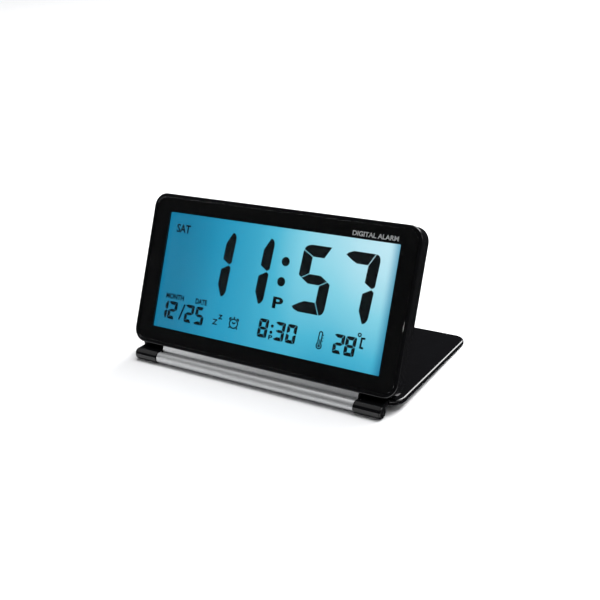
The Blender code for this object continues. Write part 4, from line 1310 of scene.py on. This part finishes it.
@dataclass
class Readout:
    """The LCD: its glowing glass and what it shows, in millimetres on the glass.

    Attributes:
        slab: The display's frame.
        low: Height of the segments' undersides, just over the glass.
        high: Height of their tops.
        big: Shape of the time's digits.
        small: Shape of the date's, alarm time's and temperature's digits.
        seam: Width of the ground bevel round the glass.
    """

    slab: SlabFrame
    low: float = -2.29
    high: float = -2.25
    big: Digit = Digit(15.3, 27.8, 5.0, 0.3)
    small: Digit = Digit(4.9, 8.0, 1.62, 0.16)
    seam: float = 0.06

    def build(self) -> None:
        """Builds the glass and the four groups of signs."""
        self.glass()
        groups = {
            "lcd_time": self.time(),
            "lcd_small_figures": self.small_figures(),
            "lcd_legends": self.legends(),
            "lcd_symbols": self.symbols(),
        }
        for name, skins in groups.items():
            made = solid(name, together(skins))
            finish_piece(made, Place(self.slab, "display"), LIT_SEGMENT)

    def glass(self) -> None:
        """Front glass with its glow, its UV map running from 0 to 1 over the view."""
        low, high = self.slab.extent("lcd_front_glass")
        seam = self.seam
        outline = [rounded_box(low[:2] + inset, high[:2] - inset, 0.1, 3) for inset in (0, seam)]
        levels = [(outline[1], low[2]), (outline[0], low[2] + seam)]
        levels += [(outline[0], high[2] - seam), (outline[1], high[2])]
        made = solid("lcd_glowing_glass", loft(levels))
        film = self.slab.extent("front_polariser")
        past = DisplayCase.film_past_view
        start, size = film[0][:2] + past, film[1][:2] - film[0][:2] - 2 * past
        mesh = made.data
        points = np.empty(len(mesh.vertices) * 3, np.float32)
        mesh.vertices.foreach_get("co", points)
        corners = np.empty(len(mesh.loops), np.int32)
        mesh.loops.foreach_get("vertex_index", corners)
        shares = (points.reshape(-1, 3)[corners, :2] - start) / size
        layer = mesh.uv_layers.new(name="view")
        layer.data.foreach_set("uv", shares.astype(np.float32).ravel())
        place = Place(self.slab, "display")
        finish_piece(made, place, Backlight(), ["lcd_front_glass"])

    def row(self, digit: Digit, signs: Sequence[tuple[str, float]], bottom: float) -> list[Skin]:
        """Digits on one base line.

        Args:
            digit: Their shape.
            signs: Each figure with x of its left side.
            bottom: s of the base line.

        Returns:
            One skin for each lit segment.
        """
        return [
            skin
            for sign, left in signs
            for skin in digit.skins(sign, left, bottom, self.low, self.high)
        ]

    def disc(self, x: float, s: float, radius: float) -> Skin:
        """A round dot."""
        return prism(circle((x, s), radius, 40), self.low, self.high)

    def line(self, path: Sequence[Sequence[float]], width: float, closed: bool = False) -> Skin:
        """A line through points given as x and s."""
        return ribbon(np.array(path, float), width, self.low, self.high, closed)

    def word(self, text: str, low: Sequence[float], high: Sequence[float], weight: float) -> Skin:
        """Letters that fill a box on the glass."""
        return lettering(text, (*low, self.low), (*high, self.high), weight)

    def time(self) -> list[Skin]:
        """The big time, 11:57, and its P for the afternoon."""
        signs = [("1", -35.6), ("1", -16.3), ("5", 12.9), ("7", 32.5)]
        skins = self.row(self.big, signs, 31.1)
        skins += [self.disc(6.0, 50.3, 1.9), self.disc(5.4, 41.9, 1.9)]
        return skins + [self.word("P", (2.9, 30.7), (7.9, 35.5), 0.035)]

    def small_figures(self) -> list[Skin]:
        """Date 12/25, alarm time 8:30 and temperature 28."""
        date = [("1", -55.1), ("2", -50.0), ("2", -40.7), ("5", -35.1)]
        skins = self.row(self.small, date, 17.2)
        skins.append(self.line([(-43.4, 17.8), (-41.2, 24.8)], 0.85))
        alarm = [("8", -2.1), ("3", 6.1), ("0", 11.7)]
        skins += self.row(self.small, alarm, 17.8)
        skins += [self.disc(4.7, 23.4, 0.68), self.disc(4.5, 20.8, 0.68)]
        skins.append(self.word("P", (3.6, 17.7), (5.5, 19.7), 0.035))
        return skins + self.row(self.small, [("2", 33.8), ("8", 38.9)], 17.8)

    def legends(self) -> list[Skin]:
        """Generic words over the date, the weekday and the C of the temperature."""
        skins = [self.word("SAT", (-52.3, 55.3), (-44.7, 59.1), 0.03)]
        skins.append(self.word("MONTH", (-52.2, 26.1), (-42.3, 28.5), 0.045))
        skins.append(self.word("DATE", (-35.9, 26.1), (-29.7, 28.5), 0.045))
        skins.append(self.line([(47.4, 25.9), (45.9, 25.8), (45.7, 22.2), (47.1, 22.1)], 0.8))
        return skins + [self.line(circle((44.7, 27.0), 0.62, 32), 0.5, True)]

    def symbols(self) -> list[Skin]:
        """Snooze z's, an alarm clock with two bells, and a thermometer."""
        skins = []
        bars = np.array([[(0, 1), (1, 1)], [(0.86, 1), (0.14, 0)], [(0, 0), (1, 0)]])
        for left, bottom, width, height in ((-25.3, 19.2, 2.4, 1.9), (-22.6, 21.9, 1.9, 1.5)):
            skins += [self.line(bar * [width, height] + [left, bottom], 0.52) for bar in bars]
        skins += alarm_symbol((-14.5, 21.0), 1.0, self.low, self.high)
        stem = elliptic_arc((27.75, 24.5), (0.72, 0.72), 10, 170, 10)
        bulb = elliptic_arc((27.55, 19.5), (1.15, 1.15), 127, 413, 30)
        skins.append(self.line(np.concatenate([stem, bulb]), 0.52, True))
        skins.append(self.disc(27.55, 19.5, 0.62))
        skins.append(self.line([(27.55, 19.6), (27.68, 22.2)], 0.4))
        marks = np.linspace(21.6, 24.0, 3)
        return skins + [self.line([(28.6, mark), (29.2, mark)], 0.36) for mark in marks]


def alarm_symbol(centre: Sequence[float], scale: float, low: float, high: float) -> list[Skin]:
    """An alarm clock with two bells, feet and hands, drawn in lines.

    Args:
        centre: Middle of its dial.
        scale: Times its size of 5 mm.
        low: Height of the lines' undersides.
        high: Height of their tops.

    Returns:
        One skin for each line.
    """
    middle = np.asarray(centre, float)
    width = 0.6 * scale
    lines = [(elliptic_arc((0, 0), (2.05, 1.9), 0, 352.5, 48), True)]
    bells = []
    for side in (-1, 1):
        tilt = 90 - side * 45
        bells.append(elliptic_arc((side * 1.72, 1.68), (0.85, 0.85), tilt - 90, tilt + 90, 12))
        lines.append((np.array([(side * 1.45, -1.4), (side * 2.25, -2.1)]), False))
    lines.append((np.array([(0.0, 2.0), (0.0, 3.0)]), False))
    lines.append((np.array([(-0.75, 0.55), (0.0, -0.05), (0.95, 0.6)]), False))
    drawn = [ribbon(path * scale + middle, width, low, high, closed) for path, closed in lines]
    return drawn + [prism(bell * scale + middle, low, high) for bell in bells]


@dataclass(frozen=True)
class Key:
    """One push key: its CAD node, its body and its piece's name."""

    node: str
    body: str
    piece: str


KEYS = (
    Key("key_mode", "mode_key", "mode_key_cap"),
    Key("key_set", "set_key", "set_key_cap"),
    Key("key_up", "up_key", "up_key_cap"),
    Key("key_down", "down_key", "down_key_cap"),
    Key("key_snooze_light", "snooze_key", "snooze_and_light_key_cap"),
)


def key_place(slab: SlabFrame, node: str) -> tuple[Points, float]:
    """Where a key is, and how long it is.

    Args:
        slab: The display's frame.
        node: The key's CAD node.

    Returns:
        Its middle in x and s, and half the length of its straight run.
    """
    low, high = slab.extent(node)
    size = high - low
    return (low[:2] + high[:2]) / 2, float(size[0] - size[1]) / 2


def key_row(slab: SlabFrame) -> float:
    """How far along the slab the row of keys lies."""
    return float(key_place(slab, "key_mode")[0][1])


@dataclass
class KeyShape:
    """A key's shape: plunger, flange inside the cover, and a domed cap with a round edge.

    Attributes:
        slab: The display's frame.
        radius: Of the cap.
        flange: How far the flange stands past the cap, and its thickness.
        edge: Radius of the cap's edge.
        dish: Depth of the finger's hollow in the cap.
        plunger: Radius of the plunger.
    """

    slab: SlabFrame
    radius: float = 2.5
    flange: tuple[float, float] = (0.7, 0.4)
    edge: float = 0.3
    dish: float = 0.14
    plunger: float = 1.0

    def build(self) -> None:
        """Builds each key on its own body."""
        for key in KEYS:
            self.cap(key)

    def cap(self, key: Key) -> None:
        """One key: outlines lofted from the hollow's middle over the edge to the plunger.

        Args:
            key: Which key.
        """
        spot, half = key_place(self.slab, key.node)
        low, high = (float(value[2]) for value in self.slab.extent(key.node))
        shares = np.linspace(0.12, 1.0, 8)
        flat = self.radius - self.edge - 0.1
        levels = [
            (stadium(spot, half, flat * share), low + self.dish * (1 - share**2))
            for share in shares.tolist()
        ]
        for radius, level in quarter_round(self.radius, low, self.edge, self.edge):
            levels.append((stadium(spot, half, radius), level))
        past, thick = self.flange
        flange = self.slab_inside() + DisplayCase.gap
        levels += [(stadium(spot, half, self.radius), flange)]
        wide = stadium(spot, half, self.radius + past)
        levels += [(wide, flange), (wide, flange + thick)]
        plunger = stadium(spot, 0.01, self.plunger)
        levels += [(plunger, flange + thick), (plunger, high)]
        made = solid(key.piece, loft(levels))
        finish_piece(made, Place(self.slab, key.body), KEY_PLASTIC, [key.node])

    def slab_inside(self) -> float:
        """Height of the rear cover's inner face."""
        return float(self.slab.extent("rear_shell")[0][2]) + DisplayCase.shell_wall


@dataclass
class AlarmSwitch:
    """Slide knob of the alarm switch: a block with finger grooves across its travel.

    Attributes:
        slab: The display's frame.
        pitch: Between two grooves.
        depth: Of a groove.
        size: Along its travel and across it.
        flange: How far the plate inside the cover stands past the knob, and its thickness.
        edge: Width of the rounding at each end.
    """

    slab: SlabFrame
    pitch: float = 1.15
    depth: float = 0.26
    size: tuple[float, float] = (4.5, 2.6)
    flange: tuple[float, float] = (0.7, 0.4)
    edge: float = 0.2

    def build(self) -> None:
        """Builds the knob: its top is a row of rounded ribs, carried across the switch."""
        low, high = self.slab.extent("alarm_switch_knob")
        middle = (low[:2] + high[:2]) / 2
        top = float(low[2])
        inside = float(self.slab.extent("rear_shell")[0][2]) + DisplayCase.shell_wall
        flange = inside + DisplayCase.gap
        past, thick = self.flange
        x = np.linspace(-self.size[0] / 2, self.size[0] / 2, 61)
        wave = np.clip(np.cos(2 * np.pi * x / self.pitch + np.pi) * 1.6, -1, 1)
        rise = self.depth * (1 + wave) / 2 * (np.abs(x) < 1.6 * self.pitch)
        near_end = np.clip(1 - (self.size[0] / 2 - np.abs(x)) / self.edge, 0, 1)
        ridge = np.column_stack([x + middle[0], top + rise + self.edge * near_end**2])
        base = [(x[-1] + middle[0], flange + thick / 2), (x[0] + middle[0], flange + thick / 2)]
        profile = np.concatenate([ridge, base])
        half = self.size[1] / 2
        block = loft([(profile, middle[1] - half), (profile, middle[1] + half)])
        knob = Skin(block.points[:, [0, 2, 1]], block.faces)
        made = solid("alarm_switch_knob_ribbed", knob)
        wide = np.array(self.size) / 2 + past
        plate = prism(rounded_box(middle - wide, middle + wide, 0.2, 4), flange, flange + thick)
        tongue = rounded_box(middle - [1.0, 0.6], middle + [1.0, 0.6], 0.1, 3)
        carve(made, [plate, prism(tongue, flange + thick - 0.1, float(high[2]))], "UNION")
        place = Place(self.slab, "alarm_switch")
        finish_piece(made, place, KEY_PLASTIC, ["alarm_switch_knob"])


@dataclass
class BatteryDoor:
    """Round bayonet door over the coin cell, with a coin slot.

    Attributes:
        slab: The display's frame.
        thickness: Of the lid.
        edge: Radius of the lid's edge.
        slot: Half length and half width of the coin slot.
        slot_depth: Of the coin slot.
        ring: How far the ring under the lid starts and ends inside the lid's edge.
        lug: How far a lug reaches inside and outside the ring's outer side.
        lug_spread: Length of a lug, in degrees.
        lug_drop: Between the lid and a lug.
        arrow_inset: From the lid's edge to the arrow's foot.
        arrow_depth: Of the sunk arrow.
    """

    slab: SlabFrame
    thickness: float = 0.5
    edge: float = 0.2
    slot: tuple[float, float] = (8.0, 0.9)
    slot_depth: float = 0.35
    ring: tuple[float, float] = (3.7, 2.2)
    lug: tuple[float, float] = (0.9, 1.5)
    lug_spread: float = 32.0
    lug_drop: float = 0.9
    arrow_inset: float = 3.4
    arrow_depth: float = 0.15

    def centre_and_radius(self) -> tuple[Points, float]:
        """The door's middle in x and s, and its radius."""
        low, high = self.slab.extent("battery_door")
        return (low[:2] + high[:2]) / 2, float(high[0] - low[0]) / 2

    def build(self) -> None:
        """Builds the door: a turned lid, a ring under it, and two lugs."""
        centre, radius = self.centre_and_radius()
        low, high = (float(value[2]) for value in self.slab.extent("battery_door"))
        lid = quarter_round(radius, low, self.edge, self.edge)
        made = solid("battery_door_lid", turned(centre, lid + [(radius, low + self.thickness)], 128))
        bore, core = (radius - inside for inside in self.ring)
        sunk = low + self.thickness / 2
        ring = [(circle(centre, core, 96), sunk), (circle(centre, core, 96), high)]
        ring += [(circle(centre, bore, 96), high), (circle(centre, bore, 96), sunk)]
        tools = [loft(ring, ring=True)]
        for turn in (0.0, 180.0):
            reach = (core - self.lug[0], core + self.lug[1])
            lug = sector(centre, reach, turn, self.lug_spread)
            tools.append(prism(lug, low + self.thickness + self.lug_drop, high - DisplayCase.gap))
        carve(made, tools, "UNION")
        half = np.array(self.slot)
        coin = rounded_box(centre - half, centre + half, self.slot[1] * 0.9, 8)
        foot = centre + [0.0, radius - self.arrow_inset]
        arrow = np.array([(-1.1, 0.0), (1.1, 0.0), (0.0, 1.7)]) + foot
        tools = [prism(coin, low - OVERCUT, low + self.slot_depth)]
        carve(made, [*tools, prism(arrow, low - OVERCUT, low + self.arrow_depth)])
        place = Place(self.slab, "battery_door")
        finish_piece(made, place, ERODED_ABS, ["battery_door"])


@dataclass
class BackPrint:
    """Small generic signs printed on the rear cover beside its controls.

    Attributes:
        slab: The display's frame.
        film: Where the print starts and ends behind the rear cover.
        stroke: Width of a drawn line.
        key_drop: How far the signs lie below the up and down keys, and below the light key.
        mark_gap: Between the battery door's edge and the marks round it.
        marks: Where the two dots for shut and open are, in degrees.
    """

    slab: SlabFrame
    film: tuple[float, float] = (0.002, 0.012)
    stroke: float = 0.28
    key_drop: tuple[float, float] = (5.0, 5.2)
    mark_gap: float = 1.4
    marks: tuple[float, float] = (90.0, 140.0)

    def build(self) -> None:
        """Prints arrows at the up and down keys, a lamp, a clock and the door's marks."""
        back = float(self.slab.extent("rear_shell")[0][2])
        high, low = (back - depth for depth in self.film)
        row = key_row(self.slab)
        skins = []
        up = np.array([(-1.0, -0.7), (1.0, -0.7), (0.0, 1.0)])
        for node, direction in (("key_up", 1.0), ("key_down", -1.0)):
            spot = key_place(self.slab, node)[0] - [0.0, self.key_drop[0]]
            skins.append(prism(up * [1.0, direction] + spot, low, high))
        skins += self.lamp((0.0, row - self.key_drop[1]), low, high)
        knob = sum(self.slab.extent("alarm_switch_knob"))[:2] / 2
        skins += alarm_symbol(knob + [1.5, 4.6], 0.8, low, high)
        centre, radius = BatteryDoor(self.slab).centre_and_radius()
        reach = (radius + self.mark_gap, radius + self.mark_gap)
        for turn in self.marks:
            spot = elliptic_arc(centre, reach, turn, turn, 1)[0]
            skins.append(prism(circle(spot, 0.45, 24), low, high))
        sweep = elliptic_arc(centre, reach, self.marks[0] + 5, self.marks[1] - 6, 20)
        skins.append(ribbon(sweep, self.stroke, low, high))
        made = solid("rear_signs", together(skins))
        finish_piece(made, Place(self.slab, "display"), GREY_INK)

    def lamp(self, centre: Sequence[float], low: float, high: float) -> list[Skin]:
        """A small sun for the light key: a ring with eight rays.

        Args:
            centre: Its middle in x and s.
            low: Height of the film's underside.
            high: Height of its top.

        Returns:
            One skin for the ring and for each ray.
        """
        middle = np.asarray(centre, float)
        rays = [
            np.array([(1.35, 0.0), (1.95, 0.0)]) @ turn_matrix(angle)
            for angle in range(0, 360, 45)
        ]
        skins = [ribbon(ray + middle, self.stroke, low, high) for ray in rays]
        return [ribbon(circle(middle, 0.85, 32), self.stroke, low, high, True), *skins]


def turn_matrix(degrees: float) -> Points:
    """Matrix that turns rows of flat points by an angle."""
    angle = math.radians(degrees)
    return np.array([[math.cos(angle), math.sin(angle)], [-math.sin(angle), math.cos(angle)]])


@dataclass
class Cover:
    """The cover that is also the stand: its panel, knuckle caps, feet and liner.

    Attributes:
        slab: The cover's frame.
        corner: Radius of the panel's corners.
        edge: Radius of the outer face's edge.
        knuckle: Radius of the hinge knuckles.
        sink: How far the knuckles' arms stand inside the panel's faces.
        gap: Between pieces that lie against each other.
        depth: Of the panel, from its hinge side to its far edge.
        arm_length: How far a knuckle's arm runs along the panel.
        trim_room: Between a knuckle and the silver barrel.
        pin_bore: Radius of the bore for the hinge pins.
        liner_corner: Radius of the liner's corners.
        pad_corner: Radius of the foot pads' corners.
    """

    slab: SlabFrame
    corner: float = 5.5
    edge: float = 0.8
    knuckle: float = 2.6
    sink: float = 0.05
    gap: float = 0.1
    depth: float = 66.4
    arm_length: float = 8.1
    trim_room: float = 0.3
    pin_bore: float = 0.85
    liner_corner: float = 2.75
    pad_corner: float = 1.0
    place: Place = field(init=False)
    panel_box: tuple[Points, Points] = field(init=False)

    def __post_init__(self) -> None:
        """Reads the panel's box from the frame: the liner and the shell give its faces."""
        self.place = Place(self.slab, "cover")
        low, high = self.slab.extent("cover_shell")
        inner = float(self.slab.extent("cover_liner")[0][2]) - self.gap
        low = np.array([low[0], high[1] - self.depth, inner])
        self.panel_box = (low, high)

    def outline(self, inset: float) -> Points:
        """The panel's outline, drawn in by an inset."""
        return box_outline(self.panel_box, inset, self.corner)

    def build(self) -> None:
        """Builds and dresses every piece of the cover."""
        self.panel()
        self.caps()
        self.feet()
        self.liner()
        for side in ("left", "right"):
            dress_node(f"hinge_pin_{side}", GROUND_STEEL)

    def panel(self) -> None:
        """Panel with round edges and two knuckles, flat where they stand on the table."""
        inner, outer = float(self.panel_box[0][2]), float(self.panel_box[1][2])
        levels = edge_levels(self.outline, 0.0, inner, -self.edge / 2, 5)[::-1]
        levels += edge_levels(self.outline, 0.0, outer, self.edge)
        made = solid("cover_panel", loft(levels))
        carve(made, [self.arm(side, inner, outer) for side in (-1, 1)], "UNION")
        half = float(self.panel_box[1][0])
        bore = prism(circle((0, 0), self.pin_bore), -half, half).lying_along_x()
        table = prism(rounded_box((-200, -200), (200, 200), 1.0, 2), -50.0, 0.0)
        below = Skin(self.slab.local(table.points * MM), table.faces)
        low, high = self.slab.extent("cover_liner")
        corner = self.liner_corner + self.gap
        felt = rounded_box(low[:2] - self.gap, high[:2] + self.gap, corner, 8)
        tools = [bore, below, prism(felt, inner - OVERCUT, float(high[2]) + self.gap)]
        for name in ("foot_pad_left", "foot_pad_right"):
            low, high = self.slab.extent(name)
            corner = self.pad_corner + self.gap
            pocket = rounded_box(low[:2] - self.gap, high[:2] + self.gap, corner, 8)
            tools.append(prism(pocket, inner - OVERCUT, float(high[2]) + self.gap))
        carve(made, tools)
        finish_piece(made, self.place, PIANO_ABS, ["cover_shell"])

    def arm(self, side: int, inner: float, outer: float) -> Skin:
        """One knuckle and its arm: an arc and straight runs, carried along x.

        Args:
            side: -1 for the left one and 1 for the right one.
            inner: Height of the panel's inner face.
            outer: Height of its outer face.

        Returns:
            The closed surface.
        """
        radius = self.knuckle
        tilt = math.degrees(math.asin(inner / radius))
        reach = float(self.panel_box[0][1]) + self.corner
        top = outer - self.sink
        barrel = elliptic_arc((0, 0), (radius, radius), 90, 360 + tilt, 96)
        runs = [(reach, inner + self.sink), (reach, top), (reach - self.arm_length, top)]
        trim, cap = self.slab.extent("hinge_trim"), self.slab.extent("hinge_cap_right")
        near, far = float(trim[1][0]) + self.trim_room, float(cap[0][0]) - self.gap
        ends = sorted((side * near, side * far))
        return prism(np.concatenate([barrel, runs]), *ends).lying_along_x()

    def caps(self) -> None:
        """Discs that close the knuckles, turned with a round rim and a centre dimple."""
        for side, name in ((-1, "left"), (1, "right")):
            low, high = self.slab.extent(f"hinge_cap_{name}")
            near, far = sorted((abs(float(low[0])), abs(float(high[0]))))
            thick, radius = far - near, float(high[1] - low[1]) / 2
            angles = np.radians(np.linspace(0, 90, 9)).tolist()
            rim = thick / 2
            profile = [(radius, near)]
            profile += [
                (radius - rim * (1 - math.cos(a)), near + rim + rim * math.sin(a)) for a in angles
            ]
            dimple = np.radians(np.linspace(0, 80, 6)).tolist()
            profile += [(0.6 * math.cos(a), far - 0.2 * math.sin(a)) for a in dimple]
            profile = [(r, side * x) for r, x in profile]
            made = solid(f"knuckle_cap_{name}", turned((0, 0), profile, 64).lying_along_x())
            node = f"hinge_cap_{name}"
            finish_piece(made, self.place, PIANO_ABS, [node])

    def feet(self) -> None:
        """Rubber pads with round edges at the panel's far end."""
        for name in ("foot_pad_left", "foot_pad_right"):
            low, high = self.slab.extent(name)
            levels = edge_levels(
                lambda inset: rounded_box(
                    low[:2] + inset, high[:2] - inset, self.pad_corner - inset / 2, 10
                ),
                0.0, float(low[2]), -0.15, 5,
            )[::-1]
            levels.append((rounded_box(low[:2], high[:2], self.pad_corner, 10), float(high[2])))
            made = solid(f"rubber_{name}", loft(levels))
            finish_piece(made, self.place, MOULDED_RUBBER, [name])

    def liner(self) -> None:
        """Flocked sheet in the panel's recess, its cut edge slightly rounded."""
        low, high = self.slab.extent("cover_liner")
        levels = edge_levels(
            lambda inset: rounded_box(
                low[:2] + inset, high[:2] - inset, self.liner_corner - inset, 8
            ),
            0.0, float(low[2]), -0.2, 5,
        )[::-1]
        levels.append((rounded_box(low[:2], high[:2], self.liner_corner, 8), float(high[2])))
        made = solid("flocked_liner", loft(levels))
        finish_piece(made, self.place, FLOCKED_FELT, ["cover_liner"])


@dataclass(frozen=True)
class Inside:
    """The pieces inside the case, which keep their CAD shapes and get their real finishes."""

    finishes: tuple[tuple[str, Finish], ...] = (
        ("front_polariser", POLARISER),
        ("rear_polariser", POLARISER),
        ("lcd_rear_glass", LCD_GLASS),
        ("light_guide", GUIDE_ACRYLIC),
        ("backlight_reflector", WHITE_FILM),
        ("lcd_holder", WHITE_ABS),
        ("backlight_led_lower", LED_RESIN),
        ("backlight_led_upper", LED_RESIN),
        ("elastomer_connector", ZEBRA_STRIP),
        ("circuit_board", SOLDER_RESIST),
        ("processor_blob", DROP_EPOXY),
        ("temperature_sensor", DROP_EPOXY),
        ("quartz_crystal", ZINC_STEEL),
        ("piezo_buzzer", ROLLED_BRASS),
        ("coin_cell", ZINC_STEEL),
        ("battery_contact_negative", NICKEL_SPRING),
        ("battery_contact_positive", NICKEL_SPRING),
        ("slide_switch_body", NICKEL_SPRING),
        ("dome_mode", NICKEL_SPRING),
        ("dome_set", NICKEL_SPRING),
        ("dome_up", NICKEL_SPRING),
        ("dome_down", NICKEL_SPRING),
        ("dome_snooze_light", NICKEL_SPRING),
        ("board_screw_left", ZINC_STEEL),
        ("board_screw_right", ZINC_STEEL),
        ("friction_sleeve_left", GROUND_STEEL),
        ("friction_sleeve_right", GROUND_STEEL),
    )

    def build(self) -> None:
        """Dresses each inner piece."""
        for node, finish in self.finishes:
            dress_node(node, finish)


# Stage, light and camera


@dataclass(frozen=True)
class Softbox:
    """A square studio light that faces the clock.

    Attributes:
        name: What it does.
        direction: Where it stands, seen from the clock.
        distance: In metres.
        size: Side of its square, in metres.
        power: In watts.
    """

    name: str
    direction: tuple[float, float, float]
    distance: float
    size: float
    power: float

    def build(self, target: Vector) -> None:
        """Adds the light and turns it to the target.

        Args:
            target: The point it faces, in metres in the row frame.
        """
        data = bpy.data.lights.new(self.name, "AREA")
        data.shape = "SQUARE"
        data.size = self.size
        data.energy = self.power
        lamp = bpy.data.objects.new(self.name, data)
        away = Vector(self.direction).normalized()
        lamp.location = target + away * self.distance
        lamp.rotation_euler = away.to_track_quat("Z", "Y").to_euler()
        bpy.context.scene.collection.objects.link(lamp)


@dataclass(frozen=True)
class Studio:
    """Pale floor and backdrop, soft light, and the camera.

    Attributes:
        camera_place: In metres in the row frame.
        lens: Focal length in millimetres on a 36 mm wide sensor.
        yaw: Turn of the view to the left of +Y, in degrees.
        pitch: How far the view looks down, in degrees.
        roll: Turn about the line of sight, in degrees.
        floor_size: Side of the floor, in metres.
        boxes: The studio lights.
    """

    camera_place: tuple[float, float, float] = (0.204434, -0.297732, 0.186172)
    lens: float = 55.283
    yaw: float = 33.924
    pitch: float = 24.219
    roll: float = -4.737
    floor_size: float = 12.0
    boxes: tuple[Softbox, ...] = (
        Softbox("barrel_light", (-0.5, -0.1, 0.86), 1.2, 1.3, 2.6),
        Softbox("low_left_light", (-0.85, -0.52, 0.1), 1.1, 0.35, 3.0),
        Softbox("right_light", (0.95, 0.15, 0.55), 1.3, 0.6, 3.0),
        Softbox("back_light", (0.25, 0.95, 0.7), 1.3, 0.8, 22.0),
    )

    def build(self) -> None:
        """Builds the stage."""
        self.floor()
        self.world()
        middle = (cad_box[0] + cad_box[1]) / 2
        for box in self.boxes:
            box.build(middle)
        self.sun()
        self.camera()

    def floor(self) -> None:
        """A plain pale floor: two flat grids that meet in front of the hinge.

        Polished black plastic behind that line doesn't mirror the floor, so it stays black, as
        if the clock stood on a dark table. The silver barrel mirrors what is in front of it.
        """
        half = self.floor_size / 2
        line = cad_box[0].y
        for name, near, far in (("floor_front", -half, line), ("floor_back", line, half)):
            x, y = np.meshgrid(np.linspace(-half, half, 5), np.linspace(near, far, 5), indexing="ij")
            points = np.stack([x, y, np.zeros_like(x)], axis=-1).reshape(-1, 3)
            index = np.arange(25).reshape(5, 5)
            corners = [index[:-1, :-1], index[1:, :-1], index[1:, 1:], index[:-1, 1:]]
            mesh = bpy.data.meshes.new(name)
            faces = np.stack(corners, axis=-1).reshape(-1, 4)
            mesh.from_pydata(points.tolist(), [], faces.tolist())
            floor = bpy.data.objects.new(name, mesh)
            bpy.context.scene.collection.objects.link(floor)
            mesh.materials.append(MATT_PAPER.build())
            floor.visible_glossy = name == "floor_front"

    def world(self) -> None:
        """Pale to the eye, and dim as a light, so that black gloss stays black."""
        world = bpy.data.worlds.new("studio")
        world.use_nodes = True
        bpy.context.scene.world = world
        tree = world.node_tree
        tree.nodes.clear()
        path = add_node(tree, "ShaderNodeLightPath")
        colours = {"data_type": "RGBA", 6: (0.032, 0.033, 0.035, 1.0), 7: linear("#F7F8F9")}
        mix = add_node(tree, "ShaderNodeMix", colours, {0: path.outputs["Is Camera Ray"]})
        back = add_node(tree, "ShaderNodeBackground", {}, {"Color": mix.outputs[2]})
        add_node(tree, "ShaderNodeOutputWorld", {}, {"Surface": back.outputs[0]})

    def sun(self) -> None:
        """A very soft sun from behind and above, which lights the floor."""
        data = bpy.data.lights.new("ceiling", "SUN")
        data.energy = 3.1
        data.angle = math.radians(50)
        lamp = bpy.data.objects.new("ceiling", data)
        lamp.rotation_euler = Vector((0.15, 0.35, 0.92)).to_track_quat("Z", "Y").to_euler()
        bpy.context.scene.collection.objects.link(lamp)

    def camera(self) -> None:
        """Camera turned by yaw and pitch, and then rolled about its line of sight."""
        yaw, pitch, roll = (math.radians(v) for v in (self.yaw, self.pitch, self.roll))
        ahead = Vector((-math.sin(yaw) * math.cos(pitch), math.cos(yaw) * math.cos(pitch),
                        -math.sin(pitch)))
        level = Vector((math.cos(yaw), math.sin(yaw), 0.0))
        upright = level.cross(ahead)
        right = level * math.cos(roll) + upright * math.sin(roll)
        up = upright * math.cos(roll) - level * math.sin(roll)
        turn = Matrix((right, up, -ahead)).transposed()
        data = bpy.data.cameras.new("camera")
        data.lens = self.lens
        data.sensor_width = 36.0
        data.clip_start = 0.01
        camera = bpy.data.objects.new("camera", data)
        camera.matrix_world = Matrix.Translation(self.camera_place) @ turn.to_4x4()
        bpy.context.scene.collection.objects.link(camera)
        bpy.context.scene.camera = camera
        bpy.context.scene.view_settings.view_transform = "Standard"


def main() -> None:
    """Builds the clock's pieces and its stage, in order."""
    logging.basicConfig(level=logging.INFO, format="%(message)s")
    display = display_slab()
    builders = (
        DisplayCase(display),
        Readout(display),
        Inside(),
        KeyShape(display),
        AlarmSwitch(display),
        BatteryDoor(display),
        BackPrint(display),
        Cover(cover_slab()),
        Studio(),
    )
    for builder in builders:
        LOG.info("building %s", type(builder).__name__)
        builder.build()


if __name__ == "__main__":
    main()
